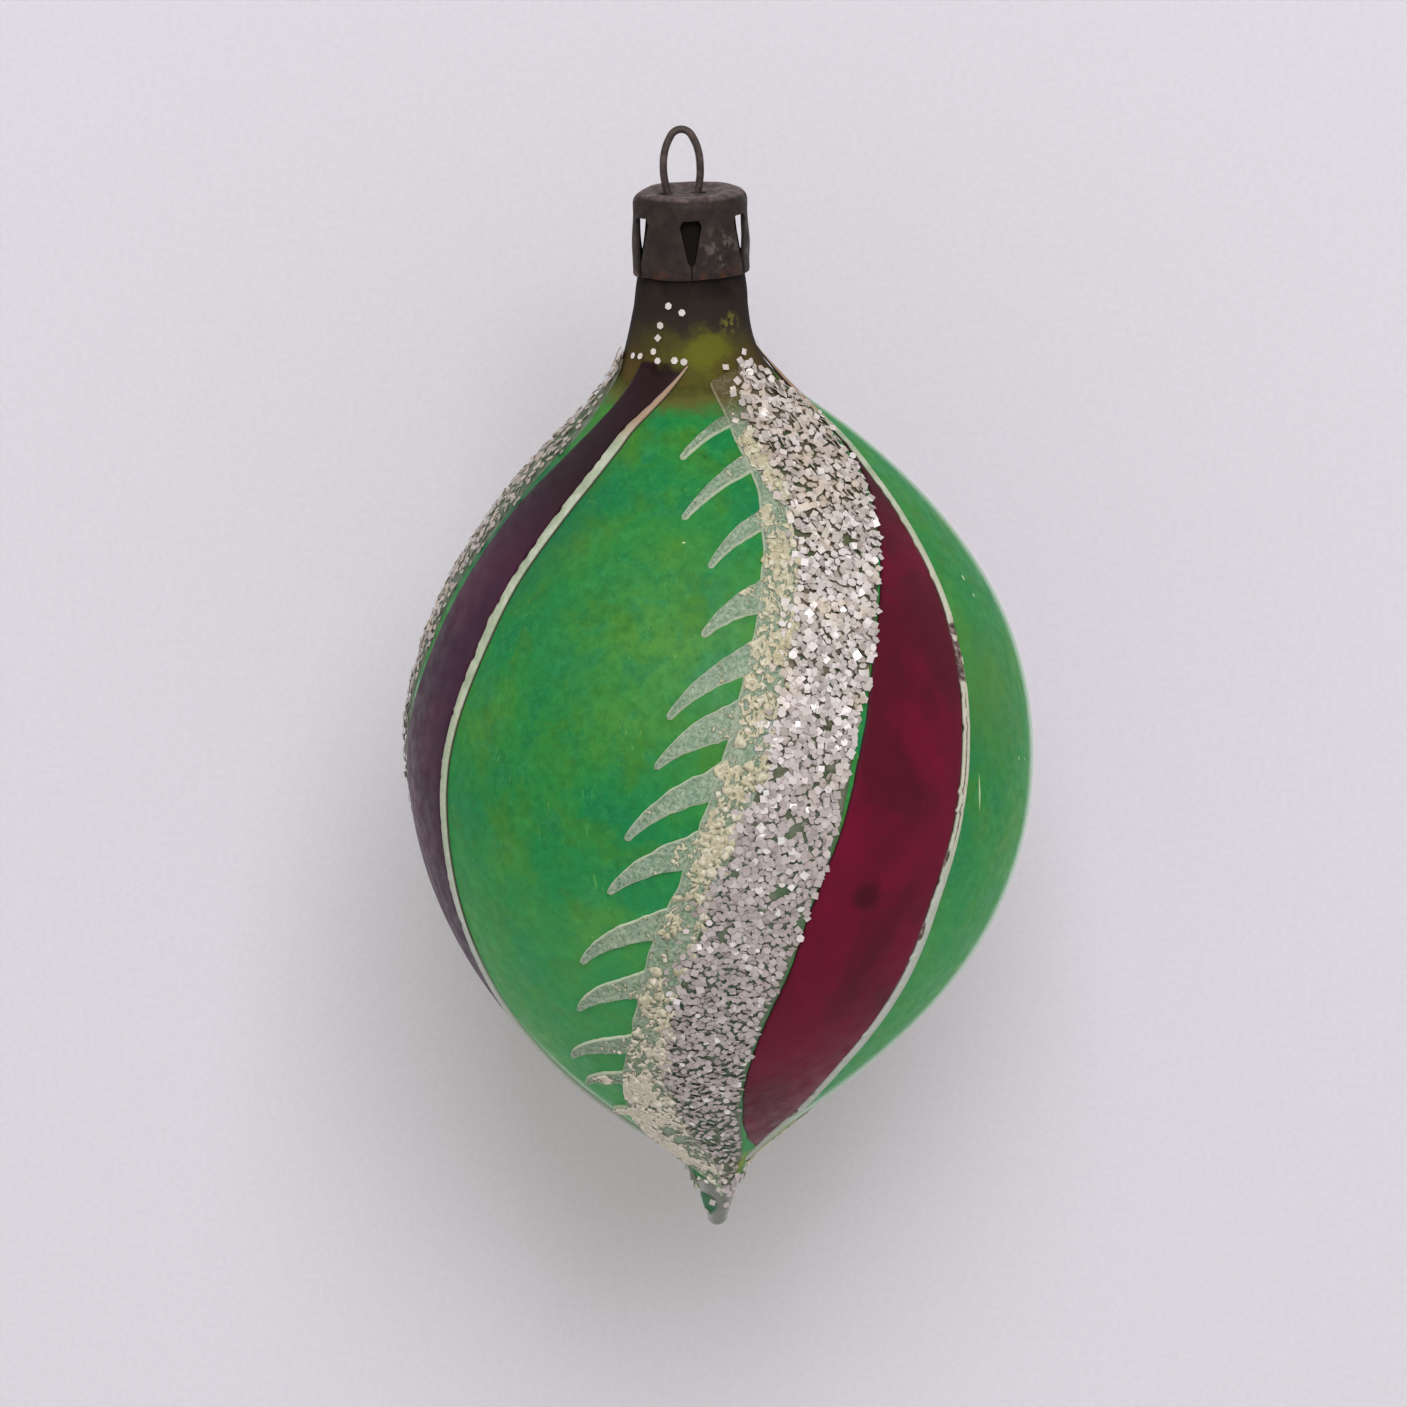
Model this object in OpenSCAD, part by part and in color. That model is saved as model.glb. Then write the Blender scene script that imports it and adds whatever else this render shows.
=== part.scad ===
// Hand-blown glass tree ornament: a lemon-shaped bulb with a drawn tip, painted
// stripes, a raised comb and glitter bands, a pressed tin cap and a wire hanger.
// Heights inside the functions are depths below the top of the cap, in
// millimetres, and turns are degrees round the axis, counted from the front.

/* [Bulb] */
// Greatest diameter of the bulb
bulb_d = 51.4; // [48:0.2:56]
// Depth of the greatest diameter below the cap top
belly_depth = 46.5; // [45:0.5:48]
// Depth of the end of the drawn tip below the cap top
tip_depth = 87.5; // [87:0.5:90]
// Thickness of the blown wall
glass_wall = 0.45; // [0.4:0.05:0.6]

/* [Neck] */
// Outside diameter of the neck at its open rim
rim_d = 7.5; // [7.3:0.1:7.7]
// Outside diameter of the neck just below the cap
neck_d = 9.1; // [8.8:0.1:9.4]

/* [Cap] */
// Outside diameter of the cap under its rounded shoulder
cap_d = 9.2; // [9.1:0.1:9.6]
// Outside diameter of the cap at its lower edge
skirt_d = 9.6; // [9.6:0.1:10]
// Height of the cap
cap_h = 6.6; // [6.2:0.1:7]
// Thickness of the tin
tin = 0.3; // [0.2:0.05:0.3]
// Number of tapered slots in the skirt
slot_count = 6; // [4:1:8]
// Width of a slot at its upper end
slot_w = 1.8; // [1:0.1:2]
// Width of a slot at the lower edge
slot_mouth_w = 0.5; // [0.3:0.1:0.8]

/* [Hanger] */
// Thickness of the hanger wire
wire_d = 0.62; // [0.5:0.02:0.7]
// Free height from the cap top to the underside of the loop
loop_rise = 4.6; // [4.4:0.1:5]
// Length of each leg inside the neck
leg_len = 9; // [7:0.5:10]

/* [Decoration] */
// Turn of each of the three repeats, relative to the front one
repeat_turns = [0, -111, 125];
// Greatest width of each plum stripe
plum_widths = [13.2, 8.6, 10.5];
// Width of a white line
line_w = 0.6; // [0.4:0.1:0.8]
// Width of a glitter band
glitter_w = 8.2; // [6:0.2:9]
// Number of teeth on a comb
tooth_count = 13; // [9:1:15]
// How far a tooth reaches sideways from its root
tooth_reach = 6.2; // [4:0.2:7]

/* [Hidden] */
$fn = 96;

bulb_r = bulb_d / 2;
rim_depth = tin + 0.1;
curve_steps = 14;

function bezier(p, t) =
  pow(1 - t, 3) * p[0] + 3 * pow(1 - t, 2) * t * p[1]
  + 3 * (1 - t) * t * t * p[2] + pow(t, 3) * p[3];

function curve(p, steps) = [for (i = [0 : steps - 1]) bezier(p, i / steps)];

// Outline of the glass as [depth, radius], from the rim to the end of the tip.
neck_end = [9.3, neck_d / 2];
shoulder_end = [19.5, 11.2];
belly = [belly_depth, bulb_r];
lower_end = [76.4, 8.7];
pip_start = [83, 2];
pip_r = 1.27;
pip_centre = tip_depth - pip_r;
neck_curve = [[rim_depth, rim_d / 2], [4.5, rim_d / 2], [6, 4.4], neck_end];
shoulder_curve = [neck_end, [14.5, 5.5], [15, 6], shoulder_end];
upper_curve = [shoulder_end, [26.2, 19], [belly_depth - 11, bulb_r], belly];
lower_curve = [belly, [belly_depth + 10.5, bulb_r], [66.8, 21], lower_end];
flare_curve = [lower_end, [80.5, 3.5], [80.8, 2.6], pip_start];
pip_curve = [pip_start, [84.2, 1.4], [84.8, 1.2], [pip_centre, pip_r]];
outline = concat(
  curve(neck_curve, 8), curve(shoulder_curve, curve_steps),
  curve(upper_curve, curve_steps), curve(lower_curve, curve_steps),
  curve(flare_curve, 8), curve(pip_curve, 5),
  [for (a = [0 : 15 : 75]) [pip_centre + pip_r * sin(a), pip_r * cos(a)]],
  [[tip_depth, 0]]);

function radius_at(depth) = lookup(depth, outline);
function slope_at(depth) = (radius_at(depth + 0.2) - radius_at(depth - 0.2)) / 0.4;
function height(depth) = -loop_rise - depth;

// [depth, radius] of a point that stands lift outside the glass.
function lifted(depth, lift) =
  let (s = slope_at(depth), n = sqrt(1 + s * s))
  [depth - lift * s / n, radius_at(depth) + lift / n];

// The same point turned round the axis; a turn of 0 faces -Y.
function on_bulb(depth, turn, lift) =
  let (p = lifted(depth, lift))
  [p[1] * sin(turn), -p[1] * cos(turn), height(p[0])];

// Angle that a width along the surface takes up round the axis.
function wide_turn(depth, w) = w / radius_at(depth) * 180 / PI;

// Layers over the glass, as [inside, outside] lifts.
lacquer_layer = [0.05, 0.15];
paint_layer = [0.23, 0.31];
line_layer = [0.23, 0.39];
comb_layer = [0.23, 0.43];
glitter_layer = [0.23, 0.58];
gap = 0.12;

// Paths of the strokes: they sweep round at the neck and at the tip.
line_from = 13.5;
line_to = 81.2;
function line_turn(depth) =
  55 - 0.43 * (depth - 32) + 41 * exp(-(depth - 14) / 5) + 30 * exp((depth - 81) / 5);

glitter_from = 14.5;
glitter_to = 82.5;
function glitter_turn(depth) =
  13.7 - 0.72 * (depth - 44.2) + 14 * exp(-(depth - 16) / 9);
function glitter_half(depth) =
  glitter_w / 2 * (1 - 0.45 * exp(-(depth - glitter_from) / 3)
    - 0.85 * exp((depth - glitter_to) / 6));
function glitter_edge(depth, side) =
  glitter_turn(depth) + side * wide_turn(depth, glitter_half(depth));

spine_from = 16;
spine_to = 78;
spine_w = 2.2;
// The spine narrows with the bulb above the tip.
function spine_width(depth) = spine_w * min(1, radius_at(depth) / 14);
function spine_right(depth) = glitter_edge(depth, -1) - wide_turn(depth, gap);
function spine_left(depth) = spine_right(depth) - wide_turn(depth, spine_width(depth));

plum_from = 14;
plum_to = 82;
function plum_right(depth) = line_turn(depth) - wide_turn(depth, line_w / 2 + gap);
// A stripe swells slowly below the neck and narrows late above the tip.
function plum_width(depth, w) =
  let (t = (depth - plum_from + 1) / (plum_to - plum_from + 2))
  0.3 + w * pow(sin(180 * t), 1.3 - 0.7 * t);
// A stripe stops short of the glitter band that lies on its left.
function plum_left(depth, w) = max(
  plum_right(depth) - wide_turn(depth, plum_width(depth, w)),
  min(glitter_edge(depth, 1) + wide_turn(depth, gap),
    plum_right(depth) - wide_turn(depth, 0.3)));

// Triangles of a closed sheet: rows by cols points inside, then as many outside.
function sheet_faces(rows, cols) =
  let (n = rows * cols)
  concat(
    [for (i = [0 : rows - 2], j = [0 : cols - 2], k = [0, 1])
      let (a = i * cols + j)
      k == 0 ? [a, a + cols, a + 1] : [a + 1, a + cols, a + cols + 1]],
    [for (i = [0 : rows - 2], j = [0 : cols - 2], k = [0, 1])
      let (a = n + i * cols + j)
      k == 0 ? [a, a + 1, a + cols] : [a + 1, a + cols + 1, a + cols]],
    [for (i = [0 : rows - 2], side = [0, 1], k = [0, 1])
      let (a = i * cols + side * (cols - 1), b = a + cols, t = [[a, a + n, b + n], [a, b + n, b]][k])
      side == 0 ? t : [t[0], t[2], t[1]]],
    [for (j = [0 : cols - 2], end = [0, 1], k = [0, 1])
      let (a = end * (rows - 1) * cols + j, b = a + 1, t = [[a, b + n, a + n], [a, b, b + n]][k])
      end == 0 ? t : [t[0], t[2], t[1]]]);

// A closed sheet over the bulb, through points given as [depth, turn].
module skin(grid, layer) {
  rows = len(grid);
  cols = len(grid[0]);
  polyhedron(
    points = [for (lift = layer, row = grid, p = row) on_bulb(p[0], p[1], lift)],
    faces = sheet_faces(rows, cols));
}

function stroke_grid(from, to, rows, cols, left, right) =
  [for (i = [0 : rows - 1])
    let (depth = from + (to - from) * i / (rows - 1))
    [for (j = [0 : cols - 1])
      [depth, left(depth) + (right(depth) - left(depth)) * j / (cols - 1)]]];

module plum_stripe(k) {
  grid = stroke_grid(plum_from, plum_to, 35, 7,
    function (d) plum_left(d, plum_widths[k]), function (d) plum_right(d));
  color("#5d1828") rotate([0, 0, repeat_turns[k]]) skin(grid, paint_layer);
}

module white_line(k) {
  grid = stroke_grid(line_from, line_to, 36, 2,
    function (d) line_turn(d) - wide_turn(d, line_w / 2),
    function (d) line_turn(d) + wide_turn(d, line_w / 2));
  color("#e8e4d4") rotate([0, 0, repeat_turns[k]]) skin(grid, line_layer);
}

// One claw: it leaves the spine, sweeps left and droops to a point.
tooth_base = 3.2;
tooth_drop = 4.4;
tooth_steps = 5;
// A tooth is shorter where the bulb is narrow at its point.
function reach_at(root) = tooth_reach * min(1, pow(radius_at(root + tooth_drop) / 18, 1.2));
function tooth_grid(root) =
  [for (i = [0 : tooth_steps])
    let (t = i / tooth_steps, half = max(0.12, tooth_base / 2 * pow(1 - t, 0.8)))
    [for (side = [-1, 0, 1])
      let (depth = root + tooth_drop * pow(t, 1.5) + side * half,
        along = reach_at(root) * pow(t, 0.85))
      [depth, spine_left(depth) + wide_turn(depth, 0.6 - along)]]];

module comb_band(k) {
  spine = stroke_grid(spine_from, spine_to, 33, 4,
    function (d) spine_left(d), function (d) spine_right(d));
  pitch = (spine_to - spine_from - 7) / (tooth_count - 1);
  color("#d9dcc4") rotate([0, 0, repeat_turns[k]]) {
    skin(spine, comb_layer);
    for (i = [0 : tooth_count - 1])
      skin(tooth_grid(spine_from + 2 + i * pitch), comb_layer);
  }
}

module glitter_band(k) {
  grid = stroke_grid(glitter_from, glitter_to, 35, 5,
    function (d) glitter_edge(d, -1), function (d) glitter_edge(d, 1));
  color("#c8c5bf") rotate([0, 0, repeat_turns[k]]) skin(grid, glitter_layer);
}

function turned(points) = [for (p = points) [p[1], height(p[0])]];

// The cavity stops where the tip becomes a solid rod.
cavity_end = 80.8;
module glass_envelope() {
  inner = [for (p = outline) if (p[0] > rim_depth && p[0] < cavity_end) lifted(p[0], -glass_wall)];
  mouth = [rim_depth - 1, rim_d / 2 - glass_wall];
  color("#b9c7a0") difference() {
    rotate_extrude() polygon(turned(concat([[rim_depth, 0]], outline)));
    rotate_extrude() polygon(turned(concat([[mouth[0], 0], mouth], inner, [[cavity_end, 0]])));
  }
}

lacquer_from = 15;
lacquer_to = 82;
module green_lacquer() {
  rows = concat([lacquer_from], [for (p = outline) if (p[0] > lacquer_from && p[0] < lacquer_to) p[0]],
    [lacquer_to]);
  last = len(rows) - 1;
  color("#3a8a4c") rotate_extrude() polygon(turned(concat(
    [for (d = rows) lifted(d, lacquer_layer[0])],
    [for (i = [last : -1 : 0]) lifted(rows[i], lacquer_layer[1])])));
}

// The tin cap: a dished top, a rounded shoulder and a slightly flared skirt.
dish_r = 2.6;
dish_depth = 0.25;
dish_rim_r = 3.1;
cap_round = 0.95;
slot_top = 2.2;
hole_x = [0.65, 1.95];
hole_w = 0.9;
function cap_outline(inset) =
  let (top = inset, r = cap_d / 2 - inset, round = cap_round - inset)
  concat([[top + dish_depth, 0], [top + dish_depth, dish_r], [top, dish_rim_r]],
    [for (a = [90 : -15 : 0]) [top + round - round * sin(a), r - round + round * cos(a)]],
    [[cap_h, skirt_d / 2 - inset]]);

module skirt_slot() {
  rotate([90, 0, 0]) linear_extrude(height = skirt_d) polygon([
    [-slot_mouth_w / 2, height(cap_h + 0.5)], [slot_mouth_w / 2, height(cap_h + 0.5)],
    [slot_w / 2, height(slot_top + 0.5)], [slot_w / 2 - 0.3, height(slot_top)],
    [0.3 - slot_w / 2, height(slot_top)], [-slot_w / 2, height(slot_top + 0.5)]]);
}

module wire_hole(side) {
  centre = (hole_x[0] + hole_x[1]) / 2;
  reach = (hole_x[1] - hole_x[0] - hole_w) / 2;
  translate([side * centre, 0, height(1)]) linear_extrude(height = 2) union() {
    square([2 * reach, hole_w], center = true);
    for (x = [-reach, reach]) translate([x, 0]) circle(d = hole_w);
  }
}

module hanger_cap() {
  outer = cap_outline(0);
  inner = cap_outline(tin);
  last = len(inner) - 1;
  color("#4b443c") difference() {
    rotate_extrude() polygon(turned(concat(outer, [for (i = [last : -1 : 0]) inner[i]])));
    for (i = [0 : slot_count - 1]) rotate([0, 0, i * 360 / slot_count]) skirt_slot();
    for (side = [-1, 1]) wire_hole(side);
  }
}

// Half of the wire from the top of the loop: [radius, turn] for a bend, where a
// turn to the right is positive, and [0, length] for a straight length.
half_wire = [[1, 58], [4.5, 32], [7.5, 18], [0.9, -28], [0, leg_len]];
wire_sides = 16;
bend_step = 7;

function bend_shift(bend, heading) = bend[0] == 0
  ? bend[1] * [cos(heading), -sin(heading)]
  : sign(bend[1]) * bend[0]
    * [sin(heading + bend[1]) - sin(heading), cos(heading + bend[1]) - cos(heading)];

// Stations [x, z, heading] along the half wire, heading counted down from +X.
function wire_stations(i, at, heading) = i == len(half_wire) ? [] :
  let (bend = half_wire[i], turning = bend[0] > 0, steps = turning ? ceil(abs(bend[1]) / bend_step) : 4)
  concat(
    [for (k = [1 : steps])
      let (part = [bend[0], bend[1] * k / steps], to = at + bend_shift(part, heading))
      [to[0], to[1], heading + (turning ? part[1] : 0)]],
    wire_stations(i + 1, at + bend_shift(bend, heading), heading + (turning ? bend[1] : 0)));

function wire_ring(s) =
  [for (k = [0 : wire_sides - 1])
    let (a = 360 * k / wire_sides, out = wire_d / 2 * cos(a))
    [s[0] + out * sin(s[2]), wire_d / 2 * sin(a), s[1] + out * cos(s[2])]];

module hanger_wire() {
  crown = [0, wire_d / 2, 0];
  right = wire_stations(0, [crown[0], crown[1]], 0);
  left = [for (i = [len(right) - 1 : -1 : 0]) [-right[i][0], right[i][1], -right[i][2]]];
  stations = concat(left, [crown], right);
  n = wire_sides;
  last = (len(stations) - 1) * n;
  color("#3d3833") polyhedron(
    points = [for (s = stations, p = wire_ring(s)) p],
    faces = concat(
      [for (i = [0 : len(stations) - 2], k = [0 : n - 1])
        [i * n + k, (i + 1) * n + k, (i + 1) * n + (k + 1) % n, i * n + (k + 1) % n]],
      [[for (k = [0 : n - 1]) k], [for (k = [n - 1 : -1 : 0]) last + k]]));
}

glass_envelope();
green_lacquer();
plum_stripe(0);  // plum_stripe_1
plum_stripe(1);  // plum_stripe_2
plum_stripe(2);  // plum_stripe_3
white_line(0);  // white_line_1
white_line(1);  // white_line_2
white_line(2);  // white_line_3
comb_band(0);  // comb_band_1
comb_band(1);  // comb_band_2
comb_band(2);  // comb_band_3
glitter_band(0);  // glitter_band_1
glitter_band(1);  // glitter_band_2
glitter_band(2);  // glitter_band_3
hanger_cap();
hanger_wire();
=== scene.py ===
import functools
import math

import bpy
import numpy as np
from mathutils import Matrix, Quaternion, Vector, noise


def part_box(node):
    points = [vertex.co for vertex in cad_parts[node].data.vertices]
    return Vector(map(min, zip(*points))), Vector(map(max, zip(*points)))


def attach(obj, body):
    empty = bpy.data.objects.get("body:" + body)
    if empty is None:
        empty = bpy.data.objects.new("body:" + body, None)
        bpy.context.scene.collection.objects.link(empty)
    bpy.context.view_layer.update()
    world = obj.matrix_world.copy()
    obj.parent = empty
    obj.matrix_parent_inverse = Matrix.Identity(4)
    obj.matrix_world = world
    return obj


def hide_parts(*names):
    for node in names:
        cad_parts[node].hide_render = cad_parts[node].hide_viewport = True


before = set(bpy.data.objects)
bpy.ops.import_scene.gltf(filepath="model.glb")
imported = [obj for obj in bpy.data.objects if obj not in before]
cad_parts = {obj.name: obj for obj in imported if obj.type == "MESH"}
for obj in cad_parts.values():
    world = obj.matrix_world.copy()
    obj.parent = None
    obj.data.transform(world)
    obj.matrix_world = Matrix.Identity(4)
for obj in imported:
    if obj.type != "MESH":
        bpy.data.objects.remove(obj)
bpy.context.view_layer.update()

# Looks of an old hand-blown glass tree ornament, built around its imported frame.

MM = 0.001
rng = np.random.default_rng(7)


# -------- sizes, in millimetres

def box_mm(node):
    """Lowest and highest corner of a CAD node, in millimetres."""
    low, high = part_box(node)
    return np.array(low) / MM, np.array(high) / MM


GLASS_LOW, GLASS_HIGH = box_mm("glass_envelope")
CAP_LOW, CAP_HIGH = box_mm("hanger_cap")
WIRE_LOW, WIRE_HIGH = box_mm("hanger_wire")
CAP_TOP = CAP_HIGH[2]
CAP_H = CAP_HIGH[2] - CAP_LOW[2]
SKIRT_R = (CAP_HIGH[0] - CAP_LOW[0]) / 2
RIM_DEPTH = CAP_TOP - GLASS_HIGH[2]
TIP_DEPTH = CAP_TOP - GLASS_LOW[2]
BULB_R = (GLASS_HIGH[0] - GLASS_LOW[0]) / 2
BELLY_DEPTH = 46.5
GLASS_WALL = 0.45
CAVITY_END = 80.8
PIP_R = 0.85
PIP_CENTRE = TIP_DEPTH - PIP_R

# The coats: the depths that they start and end at, and how far they stand off the glass.
COAT_FOOT = 0.08
LACQUER_FROM = 14.6
LACQUER_TO = 86.6
LACQUER_FOOT = 0.02
LACQUER_EDGE = 0.05
LACQUER_SWELL = 0.06
STRIPE_FROM = [14, 13.2, 14]
STRIPE_TO = 79.7
LINE_FROM = 13.4
LINE_TO = 81.4

# Points of the glass outline as (depth below the cap top, radius).
RIM = (RIM_DEPTH, 3.55)
NECK = (9.3, 4.6)
SHOULDER = (19.5, 10.9)
BELLY = (BELLY_DEPTH, BULB_R - 0.15)
LOWER = (76.4, 8.7)
PIP_START = (83, 2)
PIP_SIDE = (PIP_CENTRE, PIP_R)
CURVES = [
    (RIM, (4.8, 3.55), (6, 4.45), NECK),
    (NECK, (14.2, 5.3), (15.2, 5.9), SHOULDER),
    (SHOULDER, (26.2, 18.6), (BELLY_DEPTH - 11, BULB_R - 0.15), BELLY),
    (BELLY, (BELLY_DEPTH + 10.5, BULB_R - 0.15), (66.8, 21), LOWER),
    (LOWER, (80.5, 3.5), (80.8, 2.6), PIP_START),
    (PIP_START, (84, 1.5), (85.4, 1.3), PIP_SIDE),
]

# The three painted repeats: their turn round the axis, the first facing the front.
REPEATS = [0, -111, 125]


def bezier(points, steps):
    """Points along a cubic curve, without its last one."""
    a, b, c, d = (np.array(p, float) for p in points)
    t = np.linspace(0, 1, steps, endpoint=False)[:, None]
    return (1 - t) ** 3 * a + 3 * (1 - t) ** 2 * t * b + 3 * (1 - t) * t * t * c + t ** 3 * d


def glass_outline(steps=36):
    """The glass outline from the rim to the end of the tip, as (depth, radius) rows."""
    rows = [bezier(curve, steps) for curve in CURVES]
    arc = np.radians(np.linspace(0, 88, 16))
    rows.append(np.stack([PIP_CENTRE + PIP_R * np.sin(arc), PIP_R * np.cos(arc)], 1))
    return np.concatenate(rows)


OUTLINE = glass_outline()


def radius_at(depth):
    return np.interp(depth, OUTLINE[:, 0], OUTLINE[:, 1])


def slope_at(depth):
    return (radius_at(depth + 0.2) - radius_at(depth - 0.2)) / 0.4


def follow(depth, knots):
    """Value at a depth on a smooth curve through (depth, value) knots."""
    at, value = np.array(knots, float).T
    slope = np.gradient(value, at)
    i = np.clip(np.searchsorted(at, depth) - 1, 0, len(at) - 2)
    span = at[i + 1] - at[i]
    t = np.clip((depth - at[i]) / span, 0, 1)
    start = value[i] * (1 + 2 * t) * (1 - t) ** 2 + slope[i] * span * t * (1 - t) ** 2
    return start + value[i + 1] * t * t * (3 - 2 * t) + slope[i + 1] * span * t * t * (t - 1)


# How far the hand-blown glass strays to the right of a true axis, as (depth, offset).
STRAY = [(0, -0.1), (8, -0.2), (13, -0.35), (16, 0), (19, 0.55), (24, 1), (33, 1.35), (44, 1.3),
         (54, 1.35), (62, 1.2), (68, 0.85), (73, 0.35), (78, 0), (83, 0.25), (87.5, 0.15)]


def bulge(depth):
    return follow(depth, STRAY)


def lifted(depth, lift):
    """Depth and radius of a point that stands lift outside the glass."""
    slope = slope_at(depth)
    length = np.sqrt(1 + slope ** 2)
    return depth - lift * slope / length, radius_at(depth) + lift / length


def placed(depth, radius, turn, shift=None):
    """Points in metres; a turn of 0 faces -Y and grows towards +X.

    They stray sideways with the glass, or by the shift if one is given.
    """
    depth, radius, turn = np.broadcast_arrays(depth, radius, turn)
    a = np.radians(turn)
    x = radius * np.sin(a) + (bulge(depth) if shift is None else shift)
    return np.stack([x, -radius * np.cos(a), CAP_TOP - depth], -1) * MM


def on_bulb(depth, turn, lift):
    depth, radius = lifted(depth, lift)
    return placed(depth, radius, turn)


def wide_turn(depth, width):
    """Degrees round the axis that a width along the surface takes up."""
    return np.degrees(width / radius_at(depth))


def fade(value, low, high):
    """0 up to low, 1 from high on, smooth between; it falls where low is the larger."""
    t = np.clip((value - low) / (high - low), 0, 1)
    return t * t * (3 - 2 * t)


def ripple(size, seed, *axes):
    """Smooth noise of about -1 to 1 at positions given by one or more arrays in millimetres."""
    axes = np.broadcast_arrays(*axes)
    flat = [np.ravel(a) / size for a in axes]
    flat += [np.zeros_like(flat[0])] * (3 - len(flat))
    offset = 17.3 * seed
    values = [noise.noise(Vector((x + offset, y - offset, z))) for x, y, z in zip(*flat)]
    return np.array(values).reshape(axes[0].shape) * 1.6


# -------- mesh helpers

def put(thing, **settings):
    """Sets properties of a node, light or modifier, and returns it."""
    for key, value in settings.items():
        setattr(thing, key, value)
    return thing


def quads(ids):
    """Faces of a grid of point numbers, whose rows run down and columns to the right."""
    corners = [ids[:-1, :-1], ids[1:, :-1], ids[1:, 1:], ids[:-1, 1:]]
    return np.stack(corners, -1).reshape(-1, 4)


def grid_faces(rows, cols, closed=False):
    """Faces of a grid of points, joined round if closed."""
    ids = np.arange(rows * cols).reshape(rows, cols)
    return quads(np.hstack([ids, ids[:, :1]]) if closed else ids)


def end_faces(rows, cols):
    """The two many-sided faces that close a grid of rings."""
    first = list(range(cols))
    return [first[::-1], [(rows - 1) * cols + i for i in first]]


def strip(depth, left, right, share):
    """Grids of depth, turn, width and way to the nearer side, between a left and a right turn."""
    turn = left + (right - left) * share
    depth = np.broadcast_to(depth, turn.shape)
    width = np.radians(right - left) * radius_at(depth)
    return depth, turn, width, np.minimum(share, 1 - share) * width


def closed_sheet(depth, turn, high, *values):
    """A closed sheet over the bulb, from grids of depths, turns, lifts of its face and values."""
    rows, cols = depth.shape
    count = rows * cols
    outer = on_bulb(depth, turn, high).reshape(-1, 3)
    inner = on_bulb(depth, turn, COAT_FOOT).reshape(-1, 3)
    front = grid_faces(rows, cols)
    ids = np.arange(count).reshape(rows, cols)
    loop = np.concatenate([ids[0], ids[1:, -1], ids[-1, -2::-1], ids[-2:0:-1, 0]])
    after = np.roll(loop, -1)
    rim = np.stack([loop, after, after + count, loop + count], 1)
    faces = np.concatenate([front, front[:, ::-1] + count, rim])
    return np.concatenate([outer, inner]), faces, [np.tile(v.ravel(), 2) for v in values]


def lathe(profile, segments):
    """Points of a profile of (depth, radius) rows, turned round the axis."""
    turns = np.arange(segments) * 360 / segments
    return placed(profile[:, :1], profile[:, 1:], turns[None, :]).reshape(-1, 3)


def merged(parts):
    """One set of points, faces and values from several."""
    starts = np.cumsum([0] + [len(p[0]) for p in parts])
    points = np.concatenate([p[0] for p in parts])
    faces = np.concatenate([p[1] + s for p, s in zip(parts, starts)])
    values = [np.concatenate(v) for v in zip(*(p[2] for p in parts))]
    return points, faces, values


def make_object(name, points, faces, smooth=True, **values):
    """A mesh object; each named value becomes a point attribute."""
    mesh = bpy.data.meshes.new(name)
    mesh.from_pydata(np.asarray(points).tolist(), [], [tuple(map(int, f)) for f in faces])
    for key, array in values.items():
        attribute = mesh.attributes.new(key, "FLOAT", "POINT")
        attribute.data.foreach_set("value", np.asarray(array, np.float32))
    mesh.polygons.foreach_set("use_smooth", [smooth] * len(mesh.polygons))
    mesh.update()
    obj = bpy.data.objects.new(name, mesh)
    bpy.context.scene.collection.objects.link(obj)
    return obj


def apply_modifiers(obj):
    """Replaces the object's mesh with the result of its modifiers."""
    graph = bpy.context.evaluated_depsgraph_get()
    mesh = bpy.data.meshes.new_from_object(obj.evaluated_get(graph))
    obj.modifiers.clear()
    obj.data = mesh


def install(obj, material, body, slot, *nodes):
    """Gives a piece its material and its body, and hides the CAD nodes that it stands for; slot is not
    used.
    """
    obj.data.materials.clear()
    obj.data.materials.append(material)
    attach(obj, body)
    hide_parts(*nodes)


def install_coat(k, name, sheet, material, slot, node, *keys, smooth=True):
    """Makes the coat of repeat k on the glass; keys name the sheet's values."""
    points, faces, values = sheet
    obj = make_object(f"{name}_{k + 1}", points, faces, smooth, **dict(zip(keys, values)))
    install(obj, material, "glass_ball", slot, f"{node}_{k + 1}")


# -------- material helpers

def tint(red, green, blue):
    """A linear colour from a 0 to 255 display colour."""
    shown = np.array([red, green, blue]) / 255
    linear = np.where(shown > 0.04045, ((shown + 0.055) / 1.055) ** 2.4, shown / 12.92)
    return (*linear.tolist(), 1)


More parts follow.
